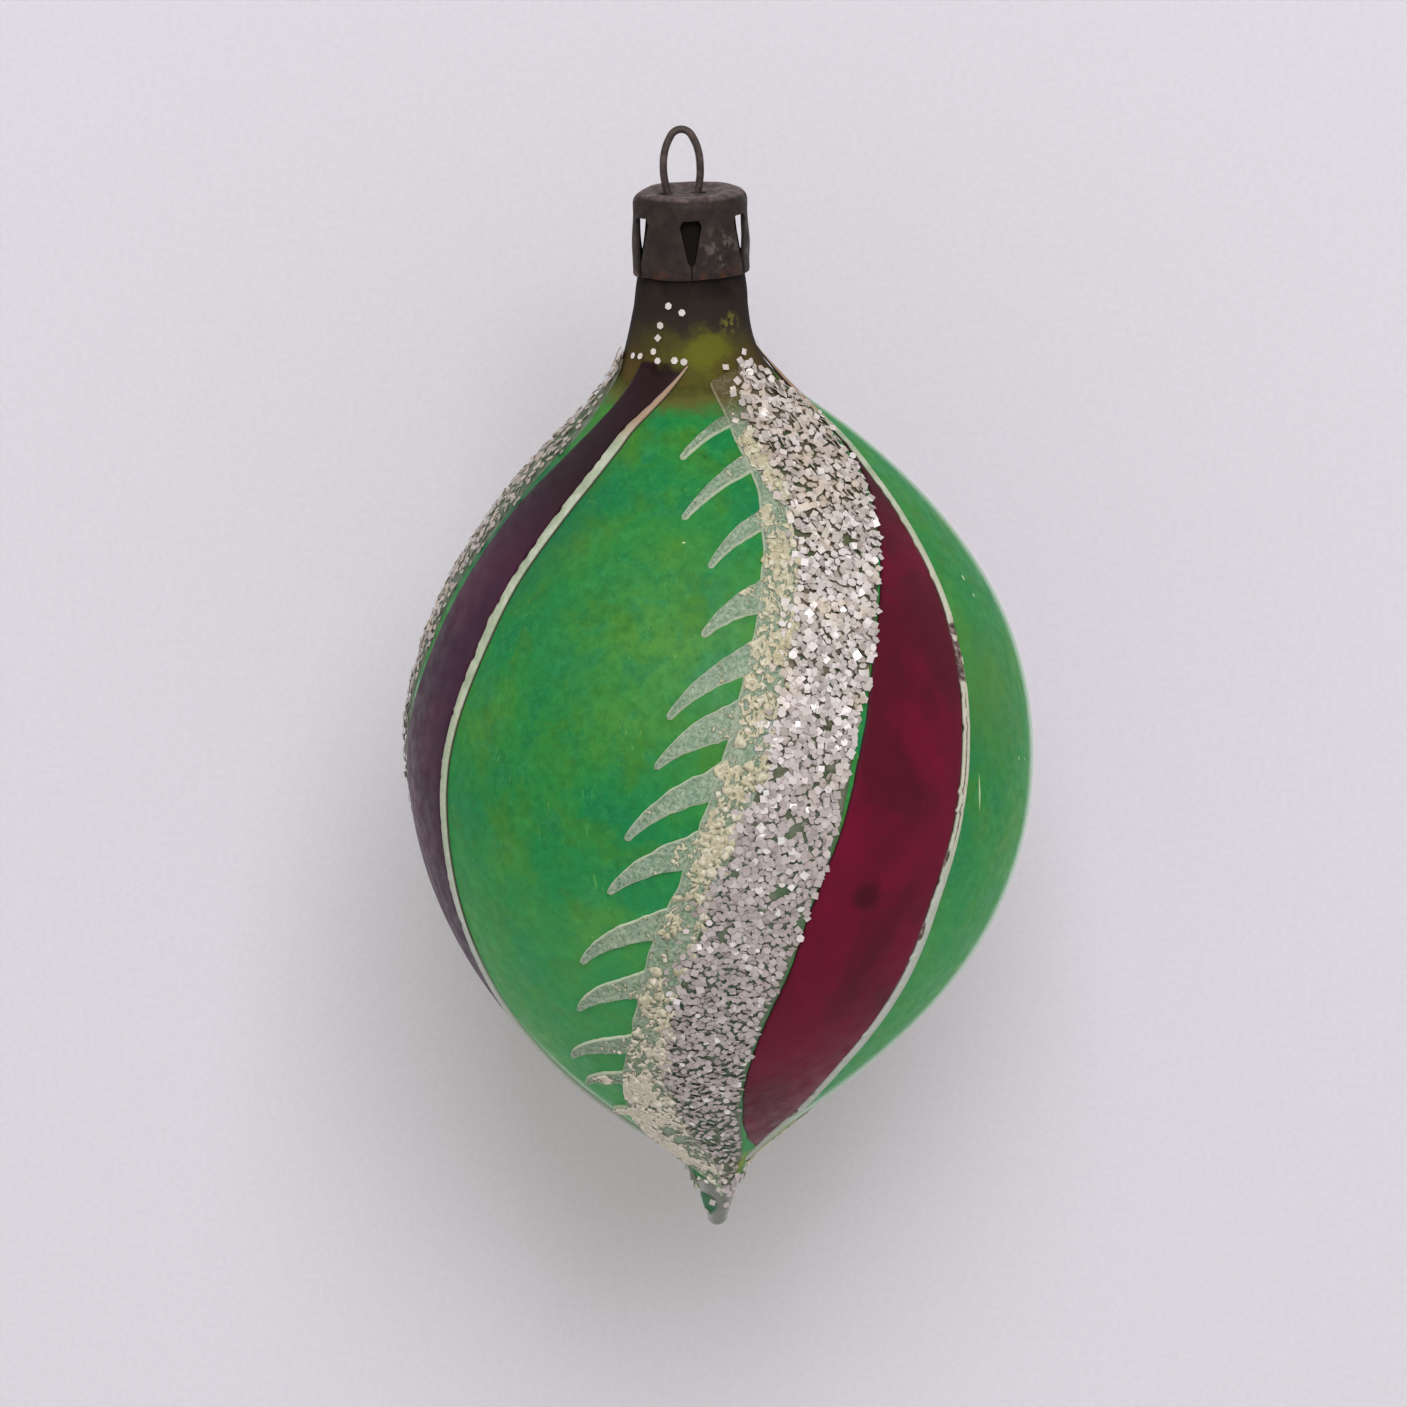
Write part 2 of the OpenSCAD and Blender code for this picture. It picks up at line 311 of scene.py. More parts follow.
class Graph:
    """The node graph of one material, with object coordinates in millimetres."""

    def __init__(self, name):
        self.material = bpy.data.materials.new(name)
        self.material.use_nodes = True
        self.tree = self.material.node_tree
        self.tree.nodes.clear()
        place = self.add("TexCoord").outputs["Object"]
        scaled = self.add("VectorMath", {0: place, "Scale": 1 / MM}, operation="SCALE")
        self.mm = scaled.outputs[0]
        height = self.add("SeparateXYZ", {0: self.mm}).outputs[2]
        self.depth = self.math("SUBTRACT", CAP_TOP, height)
        self.colour = None

    def add(self, kind, inputs=None, **settings):
        """A shader node of a kind, with values or links for its inputs."""
        node = put(self.tree.nodes.new("ShaderNode" + kind), **settings)
        for key, value in (inputs or {}).items():
            if isinstance(value, bpy.types.NodeSocket):
                self.tree.links.new(value, node.inputs[key])
            else:
                node.inputs[key].default_value = value
        return node

    def math(self, operation, a, b=0.5):
        return self.add("Math", {0: a, 1: b}, operation=operation).outputs[0]

    def times(self, *factors):
        return functools.reduce(functools.partial(self.math, "MULTIPLY"), factors)

    def value(self, name):
        """A named point attribute of the mesh."""
        return self.add("Attribute", attribute_name=name).outputs["Fac"]

    def noise(self, size, detail=3.0, roughness=0.55, distortion=0.0, stretch=None):
        """Noise with features of about size millimetres, stretched along an axis if asked."""
        vector = self.mm
        if stretch:
            vector = self.add("Mapping", {"Vector": vector, "Scale": stretch}).outputs[0]
        inputs = {"Vector": vector, "Scale": 1 / size, "Detail": detail, "Roughness": roughness}
        return self.add("TexNoise", {**inputs, "Distortion": distortion}).outputs[0]

    def cells(self, size):
        """Distance to the nearest of scattered points, and a colour for each."""
        node = self.add("TexVoronoi", {"Vector": self.mm, "Scale": 1 / size})
        return node.outputs["Distance"], node.outputs["Color"]

    def span(self, value, low, high, to_low=0.0, to_high=1.0):
        """Maps low..high smoothly to to_low..to_high."""
        inputs = {0: value, "From Min": low, "From Max": high, "To Min": to_low, "To Max": to_high}
        return self.add("MapRange", inputs, interpolation_type="SMOOTHSTEP").outputs[0]

    def vary(self, size, detail, low, high):
        """Noise that mostly lies between low and high."""
        return self.span(self.noise(size, detail), 0.3, 0.7, low, high)

    def facing(self):
        """0 where the surface faces the viewer, 1 at its silhouette."""
        return self.add("LayerWeight", {"Blend": 0.5}).outputs["Facing"]

    def ramp(self, value, *stops):
        """A colour from stops of a position and a 0 to 255 colour."""
        node = self.add("ValToRGB", {0: value})
        elements = node.color_ramp.elements
        while len(elements) < len(stops):
            elements.new(0.5)
        for element, (position, *rgb) in zip(elements, stops):
            element.position = position
            element.color = tint(*rgb)
        return node.outputs[0]

    def mix(self, factor, a, b):
        return self.add("Mix", {0: factor, 6: a, 7: b}, data_type="RGBA").outputs[2]

    def lay(self, rgb, *factors):
        """Lays a 0 to 255 colour over the graph's colour, as strong as the product of the factors."""
        self.colour = self.mix(self.times(*factors), self.colour, tint(*rgb))

    def near(self, centre, radius):
        """1 at a point given in millimetres, falling to 0 at the radius."""
        away = self.add("VectorMath", {0: self.mm, 1: centre}, operation="DISTANCE")
        return self.span(away.outputs["Value"], 0, radius, 1, 0)

    def spot(self, depth, turn, radius):
        """1 at a point of the bulb, falling to 0 at the radius."""
        return self.near(spot_on_bulb(depth, turn), radius)

    def bump(self, height, distance, strength=1.0):
        inputs = {"Height": height, "Distance": distance * MM, "Strength": strength}
        return self.add("Bump", inputs).outputs[0]

    def principled(self, **inputs):
        """Ends the graph in a Principled shader; underscores in names stand for spaces."""
        named = {"Base Color": self.colour}
        named.update({key.replace("_", " "): value for key, value in inputs.items()})
        shader = self.add("BsdfPrincipled", named)
        self.add("OutputMaterial", {0: shader.outputs[0]})
        return self.material


def spot_on_bulb(depth, turn):
    """A point of the surface in millimetres, for materials."""
    return tuple(on_bulb(np.float64(depth), np.float64(turn), 0.0) / MM)


# -------- glass and lacquer

def glass_material():
    """Amber residue in the neck and plain glass at the tip, with painted light: a glow through the neck
    at the front, a small highlight, and shade towards the edges.
    """
    g = Graph("old_blown_glass")
    reach = 20
    uneven = g.span(g.noise(2.4, 4, 0.6), 0.25, 0.75, -0.8, 0.8)
    level = g.math("DIVIDE", g.math("ADD", g.depth, uneven), reach)
    g.colour = g.ramp(
        level, (0, 26, 22, 20), (6.8 / reach, 30, 26, 23), (8.2 / reach, 46, 40, 35),
        (9.8 / reach, 50, 44, 37), (11.2 / reach, 60, 55, 39), (12.8 / reach, 76, 66, 37),
        (13.8 / reach, 84, 69, 35), (15.2 / reach, 80, 74, 36), (16.4 / reach, 84, 98, 46),
    )
    # Painted light: an olive glow at the front of the neck, where light shines through the glass.
    soft = g.span(g.noise(1.4, 4, 0.6), 0.36, 0.62, 0.45, 1)
    glow_from = g.span(level, 0.48, 0.6)
    g.lay((82, 82, 34), g.span(g.times(g.spot(12, 4, 6.2), soft, glow_from), 0, 0.7))
    g.lay((98, 99, 34), g.span(g.times(g.spot(12.2, 15, 3.6), soft, glow_from), 0, 0.8))
    # Painted highlight: a small yellowish gleam on the right of the neck.
    g.lay((150, 148, 60), g.spot(10.3, 42, 1.3), g.span(g.noise(0.5, 2), 0.4, 0.6), 0.6)
    tip = g.span(g.depth, 60, 80)
    g.lay((168, 174, 162), tip)
    # Painted shade: darker towards the silhouette, standing in for light crossing more glass there; less
    # so at the tip.
    g.lay((30, 26, 22), g.span(g.facing(), 0.45, 0.9), g.span(tip, 0, 1, 0.75, 0.35))
    return g.principled(
        Roughness=g.span(tip, 0, 1, 0.55, 0.12), Normal=g.bump(g.noise(2.2, 2), 0.05, 0.4), IOR=1.5,
        Transmission_Weight=g.span(tip, 0, 1, 0, 0.9), Specular_IOR_Level=g.span(tip, 0, 1, 0.02, 0.3),
    )


def make_glass(material, segments=176):
    """One closed lathe of the blown wall: up the inside, over the rim and down to the tip."""
    inside = OUTLINE[(OUTLINE[:, 0] > RIM_DEPTH + 0.3) & (OUTLINE[:, 0] < CAVITY_END)]
    depth, radius = lifted(inside[:, 0], -GLASS_WALL)
    inner = np.stack([depth, np.maximum(radius, 0.05)], 1)[::-1]
    floor = [[CAVITY_END, 0.05]]
    lip = [[RIM_DEPTH + 0.12, RIM[1] - GLASS_WALL], [RIM_DEPTH, RIM[1] - GLASS_WALL / 2]]
    profile = np.concatenate([floor, inner, lip, OUTLINE])
    points = lathe(profile, segments)
    faces = grid_faces(len(profile), segments, closed=True).tolist()
    obj = make_object("blown_glass", points, faces + end_faces(len(profile), segments))
    install(obj, material, "glass_ball", "clear_glass", "glass_envelope")


def strokes(g, turn, length, share):
    """Short straight scratches that lean to one side."""
    inputs = {"Vector": g.mm, "Rotation": (0, math.radians(turn), 0), "Scale": (4, 4, 1 / length)}
    vector = g.add("Mapping", inputs).outputs[0]
    lines = g.add("TexNoise", {"Vector": vector, "Scale": 1.0, "Detail": 1.0}).outputs[0]
    return g.span(lines, 1 - share, 1.02 - share)


# Short pale upright marks on the lacquer, as (depth, turn, length, width).
DASHES = [
    (46.8, 53.5, 3.6, 0.34), (50.8, 54, 0.8, 0.2), (45.7, 70, 0.6, 0.36), (46.2, 74, 0.6, 0.36),
    (31.2, 71, 1.3, 0.36), (32.6, 71, 0.8, 0.3), (19.4, -9, 0.24, 0.34), (23.6, -8, 0.2, 0.34),
    (25.4, -8, 0.22, 0.42), (33.4, -9, 0.34, 0.24), (41, -28, 0.5, 0.2), (56, -26, 0.6, 0.18),
    (61, 200, 2, 0.3), (30, 170, 1.4, 0.3), (45, 240, 2.4, 0.3),
]


def dash(g, depth, turn, length, width):
    """A short upright mark at a place of the bulb."""
    offset = g.add("VectorMath", {0: g.mm, 1: spot_on_bulb(depth, turn)}, operation="SUBTRACT")
    inputs = {0: offset.outputs[0], 1: (1, 1, width / length)}
    flat = g.add("VectorMath", inputs, operation="MULTIPLY").outputs[0]
    away = g.add("VectorMath", {0: flat}, operation="LENGTH").outputs["Value"]
    return g.span(away, width * 0.25, width * 0.55, 1, 0)


def specks(g, size, low, high, share):
    """Small scattered spots; share is the part of the cells that has one."""
    distance, cell = g.cells(size)
    return g.times(g.span(distance, low, high, 1, 0), g.span(cell, 1 - share, 1.04 - share))


def lacquer_material():
    """Mottled green with warm and cool fields, specks, scratches and short pale marks, lighter towards
    the bottom as painted light; it ends raggedly above and below.
    """
    g = Graph("green_lacquer_mottled")
    g.colour = g.ramp(
        g.noise(7, 4, 0.55), (0.3, 10, 122, 72), (0.44, 22, 129, 64), (0.56, 46, 134, 56),
        (0.72, 76, 140, 52),
    )
    g.lay((88, 145, 58), g.spot(33, -11, 15), 0.55)
    g.lay((10, 116, 76), g.span(g.noise(2.6, 4, 0.6, 0.4), 0.5, 0.66), 0.5)
    g.lay((66, 120, 26), g.span(g.noise(3.4, 4, 0.65, 0.3), 0.5, 0.64), 0.5)
    g.lay((16, 98, 42), g.span(g.noise(0.9, 5, 0.65), 0.38, 0.66), 0.42)
    g.lay((66, 160, 84), g.span(g.noise(1.3, 5, 0.7), 0.5, 0.68), 0.3)
    g.lay((70, 150, 72), g.span(g.noise(0.3, 3), 0.38, 0.68), 0.14)
    g.lay((26, 68, 26), specks(g, 2.2, 0.03, 0.14, 0.3), 0.5)
    g.lay((70, 104, 26), specks(g, 3.1, 0.04, 0.2, 0.3), 0.35)
    rubbed = g.span(g.noise(6, 2), 0.5, 0.62)
    g.lay((150, 186, 92), strokes(g, 34, 3.4, 0.31), rubbed, 0.2)
    for size in DASHES:
        g.lay((206, 228, 172), dash(g, *size))
    # Painted light: lighter green towards the bottom, where the lamp above leaves the bulb darker.
    g.lay((84, 170, 104), g.span(g.depth, 44, 64, 0, 0.28))
    g.lay((90, 132, 44), g.spot(39, 62, 9), 0.5)
    g.lay((14, 88, 66), g.spot(25, -66, 12), 0.85)
    ragged = g.math("ADD", g.depth, g.span(g.noise(1.2, 3), 0.2, 0.8, -0.4, 0.4))
    g.lay((92, 92, 44), g.span(ragged, 15.8, 17.3, 1, 0))
    g.lay((150, 150, 40), g.spot(81.5, 40, 2.6), 0.8)
    g.lay((58, 92, 74), g.span(g.depth, 82.6, 84, 0, 0.75))
    patch = g.span(g.spot(85.3, -50, 1.5), 0.1, 0.6)
    low = g.math("MAXIMUM", g.span(ragged, 83.2, 82.2), patch)
    height = g.math("ADD", g.noise(2.6, 2), g.times(g.noise(0.4, 3), 0.3))
    return g.principled(
        Roughness=g.vary(1.1, 4, 0.4, 0.6), Normal=g.bump(height, 0.06, 0.6),
        Alpha=g.times(g.span(ragged, LACQUER_FROM, 16.0), low),
        Specular_IOR_Level=g.span(g.depth, 15, 21, 0.03, 0.16),
        Coat_Weight=g.span(g.facing(), 0.8, 0.9), Coat_Roughness=0.04,
        Sheen_Weight=0.22, Sheen_Roughness=0.45, Sheen_Tint=tint(96, 220, 110),
    )


def make_lacquer(material, segments=200):
    """The green coat over the bulb, as a closed thin shell."""
    depth = np.linspace(LACQUER_FROM, LACQUER_TO, 200)
    taper = fade(depth, LACQUER_FROM, LACQUER_FROM + 2) * fade(depth, LACQUER_TO, LACQUER_TO - 4)
    outer = np.stack(lifted(depth, LACQUER_EDGE + LACQUER_SWELL * taper), 1)
    inner = np.stack(lifted(depth, LACQUER_FOOT), 1)[::-1]
    profile = np.concatenate([outer, inner])
    points = lathe(profile, segments)
    faces = grid_faces(len(profile) + 1, segments, closed=True) % len(points)
    obj = make_object("lacquer_coat", points, faces)
    install(obj, material, "glass_ball", "green_lacquer", "green_lacquer")


# -------- painted stripes and lines

# Edges of the painting as (depth, turn) knots: the front repeat, then the one on the left.
# The hidden one is drawn like the front, with its own waver.
LINE_TURNS = [
    [(13.4, 110), (16, 91), (18.3, 77.5), (20, 72), (22, 67), (25.5, 62.3), (32, 57), (39, 52.3),
     (48, 47.3), (55, 43), (62, 41), (66.5, 39.5), (70.5, 38.5), (75, 41.5), (79, 48), (81.4, 60)],
    [(13.4, 108), (15.2, 93), (16.8, 81), (18.2, 73), (19.7, 69.5), (22.5, 65), (25.6, 61),
     (28.6, 58), (35, 55), (45, 51), (54, 49), (62, 46.5), (68, 43), (73, 42), (77, 46), (81.4, 60)],
]
LINE_HALVES = [
    [(13.4, 0.15), (15, 0.3), (17, 0.4), (30, 0.4), (40, 0.5), (58, 0.56), (75, 0.4), (81.4, 0.2)],
    [(13.4, 0.1), (14.6, 0.22), (16, 0.38), (18, 0.52), (22, 0.6), (40, 0.58), (60, 0.52),
     (75, 0.4), (81.4, 0.2)],
]
STRIPE_LEFTS = [
    [(13.6, 104), (16.4, 82), (18, 76.5), (20, 69), (22, 62), (26, 49), (29, 41.5), (34, 32.5),
     (40, 26.8), (47, 21.5), (54, 15.5), (60, 12), (66, 8), (70, 7.5), (73.3, 9.5), (77, 19),
     (78.6, 30), (79.6, 46)],
    [(13.2, 66), (15, 59), (17.8, 50), (21.2, 43), (24.5, 38), (28, 35.5), (33, 33.5), (39, 31),
     (45, 26), (55, 22), (65, 24), (72, 30), (77, 39), (79.6, 50)],
]
GLITTER_LEFTS = [
    [(13.2, 39), (16.3, 26), (18.5, 19.5), (21, 21.5), (25, 20.5), (29, 17), (34, 12), (42, 6),
     (50, -1.5), (57, -8), (65, -15), (71, -18), (77, -18), (82.5, -12)],
    [(13.2, 0), (16.3, -20), (19, -12), (22, -4), (26, 2), (30, 4), (38, 4), (45, 1), (55, -6),
     (65, -14), (71, -18), (77, -18), (82.5, -12)],
]
GLITTER_RIGHTS = [
    [(13.4, 50), (14.8, 66), (16.4, 77), (18, 75.5), (20, 67.5), (22.4, 60), (26, 48.5), (29, 41),
     (33, 34), (37, 28.5), (43, 22.7), (49, 18.7), (54, 15), (60, 10.5), (64, 8), (70, 6),
     (75, 9), (79, 20), (82.5, 45)],
    [(13.4, 37), (16, 38), (19.4, 41), (22, 37), (26, 35), (30, 32), (38, 29), (45, 23),
     (55, 15), (65, 7), (72, 4), (77, 8), (82.5, 40)],
]


def drawn(depth, tables, k):
    """A turn or a width from the knots of repeat k."""
    return follow(depth, tables[k % len(tables)])


def drawn_turn(depth, tables, k):
    waver = 3 * np.sin(depth / 9) * fade(depth, 16, 24) if k == 2 else 0
    return drawn(depth, tables, k) + waver + REPEATS[k]


def line_turn(depth, k):
    return drawn_turn(depth, LINE_TURNS, k)


def stripe_edges(depth, k):
    """Left and right turns of a stripe, with the wobble of the brush."""
    right = line_turn(depth, k) - wide_turn(depth, drawn(depth, LINE_HALVES, k) - 0.12)
    brush = 0.07 * ripple(4, 3 + k, depth) + 0.03 * ripple(0.8, 9 + k, depth)
    left = drawn_turn(depth, STRIPE_LEFTS, k) + wide_turn(depth, brush)
    return np.minimum(left, right - wide_turn(depth, 0.15)), right


# Small chips in the paint of the front stripe, as (depth, turn, length, width).
CHIPS = [(38.9, 46.6, 0.7, 0.26), (39.3, 45.8, 0.3, 0.3), (49.4, 34, 0.34, 0.3), (21.5, 58, 0.3, 0.24)]


def stripe_material(name, body, accent, deep, top):
    """Stripe paint: body colour with streaks and darker blotches, darker near the neck, with painted
    shade along its edges.
    """
    g = Graph(name)
    g.colour = tint(*body)
    g.lay(accent, g.span(g.noise(7, 4, 0.6, 0.6, stretch=(1, 1, 0.45)), 0.4, 0.64))
    g.lay(deep, g.span(g.noise(2.4, 4, 0.6), 0.45, 0.8), 0.35)
    g.lay((50, 12, 20), g.span(g.spot(53.2, 26.5, 2.1), 0.05, 0.8, 0, 0.7))
    g.lay(accent, g.span(g.spot(67, 14, 9), 0, 0.8, 0, 0.65))
    g.lay(top, g.span(g.depth, 30, 20))
    # Painted shade: a dark band along the stripe's edges, where it meets the lines and the lacquer.
    g.lay((28, 12, 18), g.span(g.value("rim"), 0.0, 0.3, 1, 0), 0.8)
    g.lay((150, 90, 100), specks(g, 2.6, 0.015, 0.04, 0.35), 0.6)
    for size in CHIPS:
        g.lay((206, 150, 164), dash(g, *size))
    end = g.math("ADD", g.depth, g.vary(2.5, 2, -0.5, 0.5))
    return g.principled(
        Roughness=g.vary(1.3, 3, 0.32, 0.5), Normal=g.bump(g.noise(1.8, 3), 0.04, 0.5),
        Specular_IOR_Level=0.1, Alpha=g.span(end, 12.8, 14.2),
    )


def make_stripe(k, material, slot):
    """A stripe of paint that thins towards its rounded edge."""
    depth = np.arange(STRIPE_FROM[k], STRIPE_TO, 0.2)[:, None]
    share = 0.5 - 0.5 * np.cos(np.pi * np.linspace(0, 1, 25))
    depths, turn, _, rim = strip(depth, *stripe_edges(depth, k), share)
    end = np.minimum(depths - depth[0], depth[-1] - depths)
    high = 0.13 + 0.09 * fade(np.minimum(rim, end), 0, 0.25)
    sheet = closed_sheet(depths, turn, high, rim)
    install_coat(k, "plum_coat", sheet, material, slot, "plum_stripe", "rim")


def line_material():
    """Cream paint, warmer on the front line, with painted shade along its edges and bare where it has
    worn.
    """
    g = Graph("cream_line_paint")
    bare = g.ramp(g.noise(0.4, 3, 0.6), (0.36, 58, 44, 40), (0.5, 108, 90, 82), (0.64, 152, 140, 126))
    g.colour = g.ramp(
        g.noise(1.6, 4, 0.6), (0.3, 150, 170, 136), (0.5, 174, 188, 158), (0.72, 202, 209, 185))
    g.lay((186, 192, 184), g.span(g.depth, 44, 60), 0.7)
    g.lay((208, 199, 180), g.spot(38, 53, 22), 0.6)
    g.lay((168, 140, 114), g.span(g.depth, 19.5, 17))
    g.lay((158, 160, 128), g.span(g.noise(0.25, 3), 0.4, 0.7), 0.3)
    # Painted shade: dark along both edges of the line, fading out towards the bottom.
    g.lay((60, 54, 40), g.span(g.value("rim"), 0.74, 0.96), g.span(g.depth, 58, 68, 1, 0.1))
    g.colour = g.mix(g.span(g.value("worn"), 0.3, 0.7), g.colour, bare)
    return g.principled(
        Roughness=g.vary(0.5, 3, 0.5, 0.75), Normal=g.bump(g.noise(0.3, 3), 0.05, 0.6),
        Specular_IOR_Level=0.25,
    )


def wear(k, depths, across, chips):
    """Where a line has worn through: chips all along, a broken piece and a split on the front one."""
    worn = fade(chips - 0.35 * fade(across, -0.7, 0), 0.72, 0.88)
    if k == 0:
        broken = fade(depths, 33.2, 33.8) * fade(depths, 38.2, 37.4)
        worn = np.maximum(worn, broken * fade(chips, -0.9, -0.45))
        split = fade(depths, 38, 39.5) * fade(depths, 52, 48)
        groove = fade(np.abs(across + 0.1), 0.3, 0.08)
        worn = np.maximum(worn, split * groove * fade(chips, -0.7, -0.2))
    return worn


def make_line(k, material):
    """A raised bead of cream paint with a ragged left side and small chips."""
    depth = np.arange(LINE_FROM, LINE_TO, 0.08)[:, None]
    across = np.linspace(-1, 1, 17)
    half = drawn(depth, LINE_HALVES, k) * (1 + 0.1 * ripple(5, 20 + k, depth))
    ragged = np.maximum(0, ripple(0.8, 30 + k, depth) - 0.1) * 0.28
    left = half + np.where(ripple(6, 33 + k, depth) > 0, ragged, -ragged)
    offset = -left + (half + left) * (across + 1) / 2
    depths = np.broadcast_to(depth, offset.shape)
    turn = line_turn(depths, k) + wide_turn(depths, offset)
    worn = wear(k, depths, across, ripple(1.1, 40 + k, depths, offset * 1.5))
    ends = fade(depth, LINE_FROM, 15.5) * fade(depth, LINE_TO, 79.5)
    rim = np.broadcast_to(np.abs(across), depths.shape)
    high = 0.14 + 0.26 * (1 - rim ** 3) * (1 - 0.8 * worn) * (0.4 + 0.6 * ends)
    sheet = closed_sheet(depths, turn, high, rim, worn)
    install_coat(k, "cream_line", sheet, material, "white_paint", "white_line", "rim", "worn")


# -------- frosted combs

# How far the comb's stem reaches left of the glitter, as (depth, millimetres).
STEM_WIDTHS = [(14, 2.5), (16, 1.7), (18.5, 0.9), (21, 1.2), (25, 2.0), (34, 2.6), (42, 2.9),
               (50, 2.6), (57, 2.8), (65, 2.4), (71, 3.5), (77, 4), (81.5, 3), (83.5, 1.5)]

# The noise seed of the stems, the part of a tooth that lies under its stem, and its point's radius.
CRUST_SEED = 300
ROOT_SHARE = 0.22
POINT_R = 0.27

# Each tooth as it was brushed: root depth, half width there, and the depth and turn of its point.
FRONT_TEETH = [
    (17.5, 0.55, 19.9, -10), (20.4, 0.8, 23.9, -8.5), (24.2, 0.8, 27.2, -1.5),
    (29.4, 1.15, 32, -3.5), (33.8, 1.1, 38, -10), (38.2, 1.3, 41.8, -12), (43, 1.2, 47.6, -17.5),
    (48.4, 1.3, 52.2, -21.5), (54.8, 1.2, 58.7, -29.5), (60.4, 1.2, 63.4, -34),
    (66.4, 1.05, 68.9, -45.5), (70.3, 0.8, 72, -49.5), (74.5, 0.6, 75.5, -54),
]


def stem_left(depth, k):
    """Turn of the left side of a comb's stem, with its waver."""
    width = follow(depth, STEM_WIDTHS) + 0.12 * ripple(1.8, 60 + k, depth)
    return drawn_turn(depth, GLITTER_LEFTS, k) - wide_turn(depth, width)


def rear_teeth(k, random):
    """Teeth of the other combs, spaced like the front ones but uneven in their own way."""
    teeth = []
    for root, half, tip, turn in FRONT_TEETH:
        root = root + random.uniform(-0.7, 0.7)
        fall = (tip - root) * random.uniform(0.85, 1.15)
        reach = wide_turn(root + fall, 6.5 * min(1, radius_at(root) / 17) * random.uniform(0.85, 1.15))
        point = stem_left(np.array([root + fall]), k)[0] - REPEATS[k] - reach
        point = max(point, -30) if k == 2 else point
        teeth.append((root, half * random.uniform(0.85, 1.15), root + fall, point))
    return teeth


def crust_at(depth, into, seed):
    """How crusty the relief is: patches and thin curls of dry glue, most of them on the stem."""
    wander = ripple(2.6, seed, depth, into)
    grain = ripple(0.5, seed + 1, depth, into * 1.2) + 0.6 * ripple(0.22, seed + 2, depth, into)
    often = 0.35 * fade(depth, 20, 23) * fade(depth, 37, 33) + 0.5 * fade(depth, 62, 68)
    often = often + 0.3 * fade(depth, 37, 41) * fade(depth, 50, 47) - 0.2
    often = often - 0.7 * fade(depth, 50, 53) * fade(depth, 62, 59) - 1.5 * fade(depth, 19, 17)
    inside = fade(into + 3.4 * fade(depth, 63, 67), -1.6, 1.2) - 1
    patches = fade(0.75 * grain + 0.9 * wander + often + 1.4 * inside, 0.1, 0.5)
    curls = fade(np.abs(ripple(0.8, seed + 3, depth, into)), 0.16, 0.04)
    near_stem = fade(into, -4.5, -0.5) - 1
    curls = curls * fade(ripple(1.3, seed + 4, depth, into) + 0.5 * wander + near_stem, -0.15, 0.3)
    return np.maximum(patches, curls * fade(depth, 17, 19))


def relief_sheet(depth, turn, rim, into, seed):
    """A closed sheet of relief: a raised outline, a frosted middle and crust on top."""
    crust = crust_at(depth, into, seed) * fade(rim, 0, 0.25)
    crest = fade(rim, 0, 0.1) * (1 + 0.7 * fade(rim, 0.42, 0.14))
    high = 0.12 + 0.15 * crest + crust * 0.2 + 0.03 * ripple(0.3, seed + 5, depth, into)
    high = np.maximum(high, 0.11)
    return closed_sheet(depth, turn, high, rim, crust)


def tooth(root, half_root, tip, tip_turn, k, seed):
    """One claw: it leaves the stem, sweeps left and hooks down to a rounded point."""
    t = np.linspace(-ROOT_SHARE, 1, 62)[:, None]
    s = np.linspace(-1, 1, 17)[None, :]
    root_turn = stem_left(np.array([root]), k)[0]
    tip_turn = tip_turn + REPEATS[k]
    bend = root + 0.28 * (tip - root), root_turn + 0.64 * (tip_turn - root_turn)
    depth = (1 - t) ** 2 * root + 2 * (1 - t) * t * bend[0] + t * t * tip
    turn = (1 - t) ** 2 * root_turn + 2 * (1 - t) * t * bend[1] + t * t * tip_turn
    radius = radius_at(depth)
    stretch = np.sqrt(1 + slope_at(depth) ** 2)
    step_x = np.gradient(turn, axis=0) * np.pi / 180 * radius
    step_y = np.gradient(depth, axis=0) * stretch
    length = np.hypot(step_x, step_y)
    travelled = np.cumsum(length, axis=0)
    to_tip = travelled[-1] - travelled
    half = 0.25 + (1.04 * half_root - 0.25) * (1 - np.clip(t, 0, 1)) ** 0.95
    half = half + 0.5 * half_root * np.clip(-t / ROOT_SHARE, 0, 1)
    half = half * (1 + 0.07 * ripple(1.6, seed, travelled))
    round_end = np.sqrt(np.maximum(POINT_R ** 2 - (POINT_R - to_tip) ** 2, 0.02 ** 2))
    half = np.minimum(half, round_end + np.maximum(to_tip - POINT_R, 0) * 3)
    out = s * half * (1 + 0.05 * ripple(0.7, seed + 0.5, travelled, s * 2))
    turns = turn + np.degrees(out * step_y / length / radius)
    depths = depth - out * step_x / length / stretch
    rim = np.minimum((1 - np.abs(s)) * half, to_tip)
    into = -np.clip(t, -ROOT_SHARE, 1) * travelled[-1] + 0 * s
    return relief_sheet(depths, turns, rim, into, seed)


def stem(k):
    """The crusty stem of a comb, which runs under the edge of the glitter."""
    depth = np.arange(14, 84.5, 0.15)[:, None]
    left = stem_left(depth, k)
    right = drawn_turn(depth, GLITTER_LEFTS, k) + wide_turn(depth, 0.7)
    end = np.sqrt(fade(depth, 13.9, 14.9)) * fade(depth, 84.6, 79.5)
    left = right + (left - right) * (0.1 + 0.9 * end)
    share = np.linspace(0, 1, 34)
    depth, turn, width, rim = strip(depth, left, right, share)
    return relief_sheet(depth, turn, rim, share * width, CRUST_SEED + 10 * k)


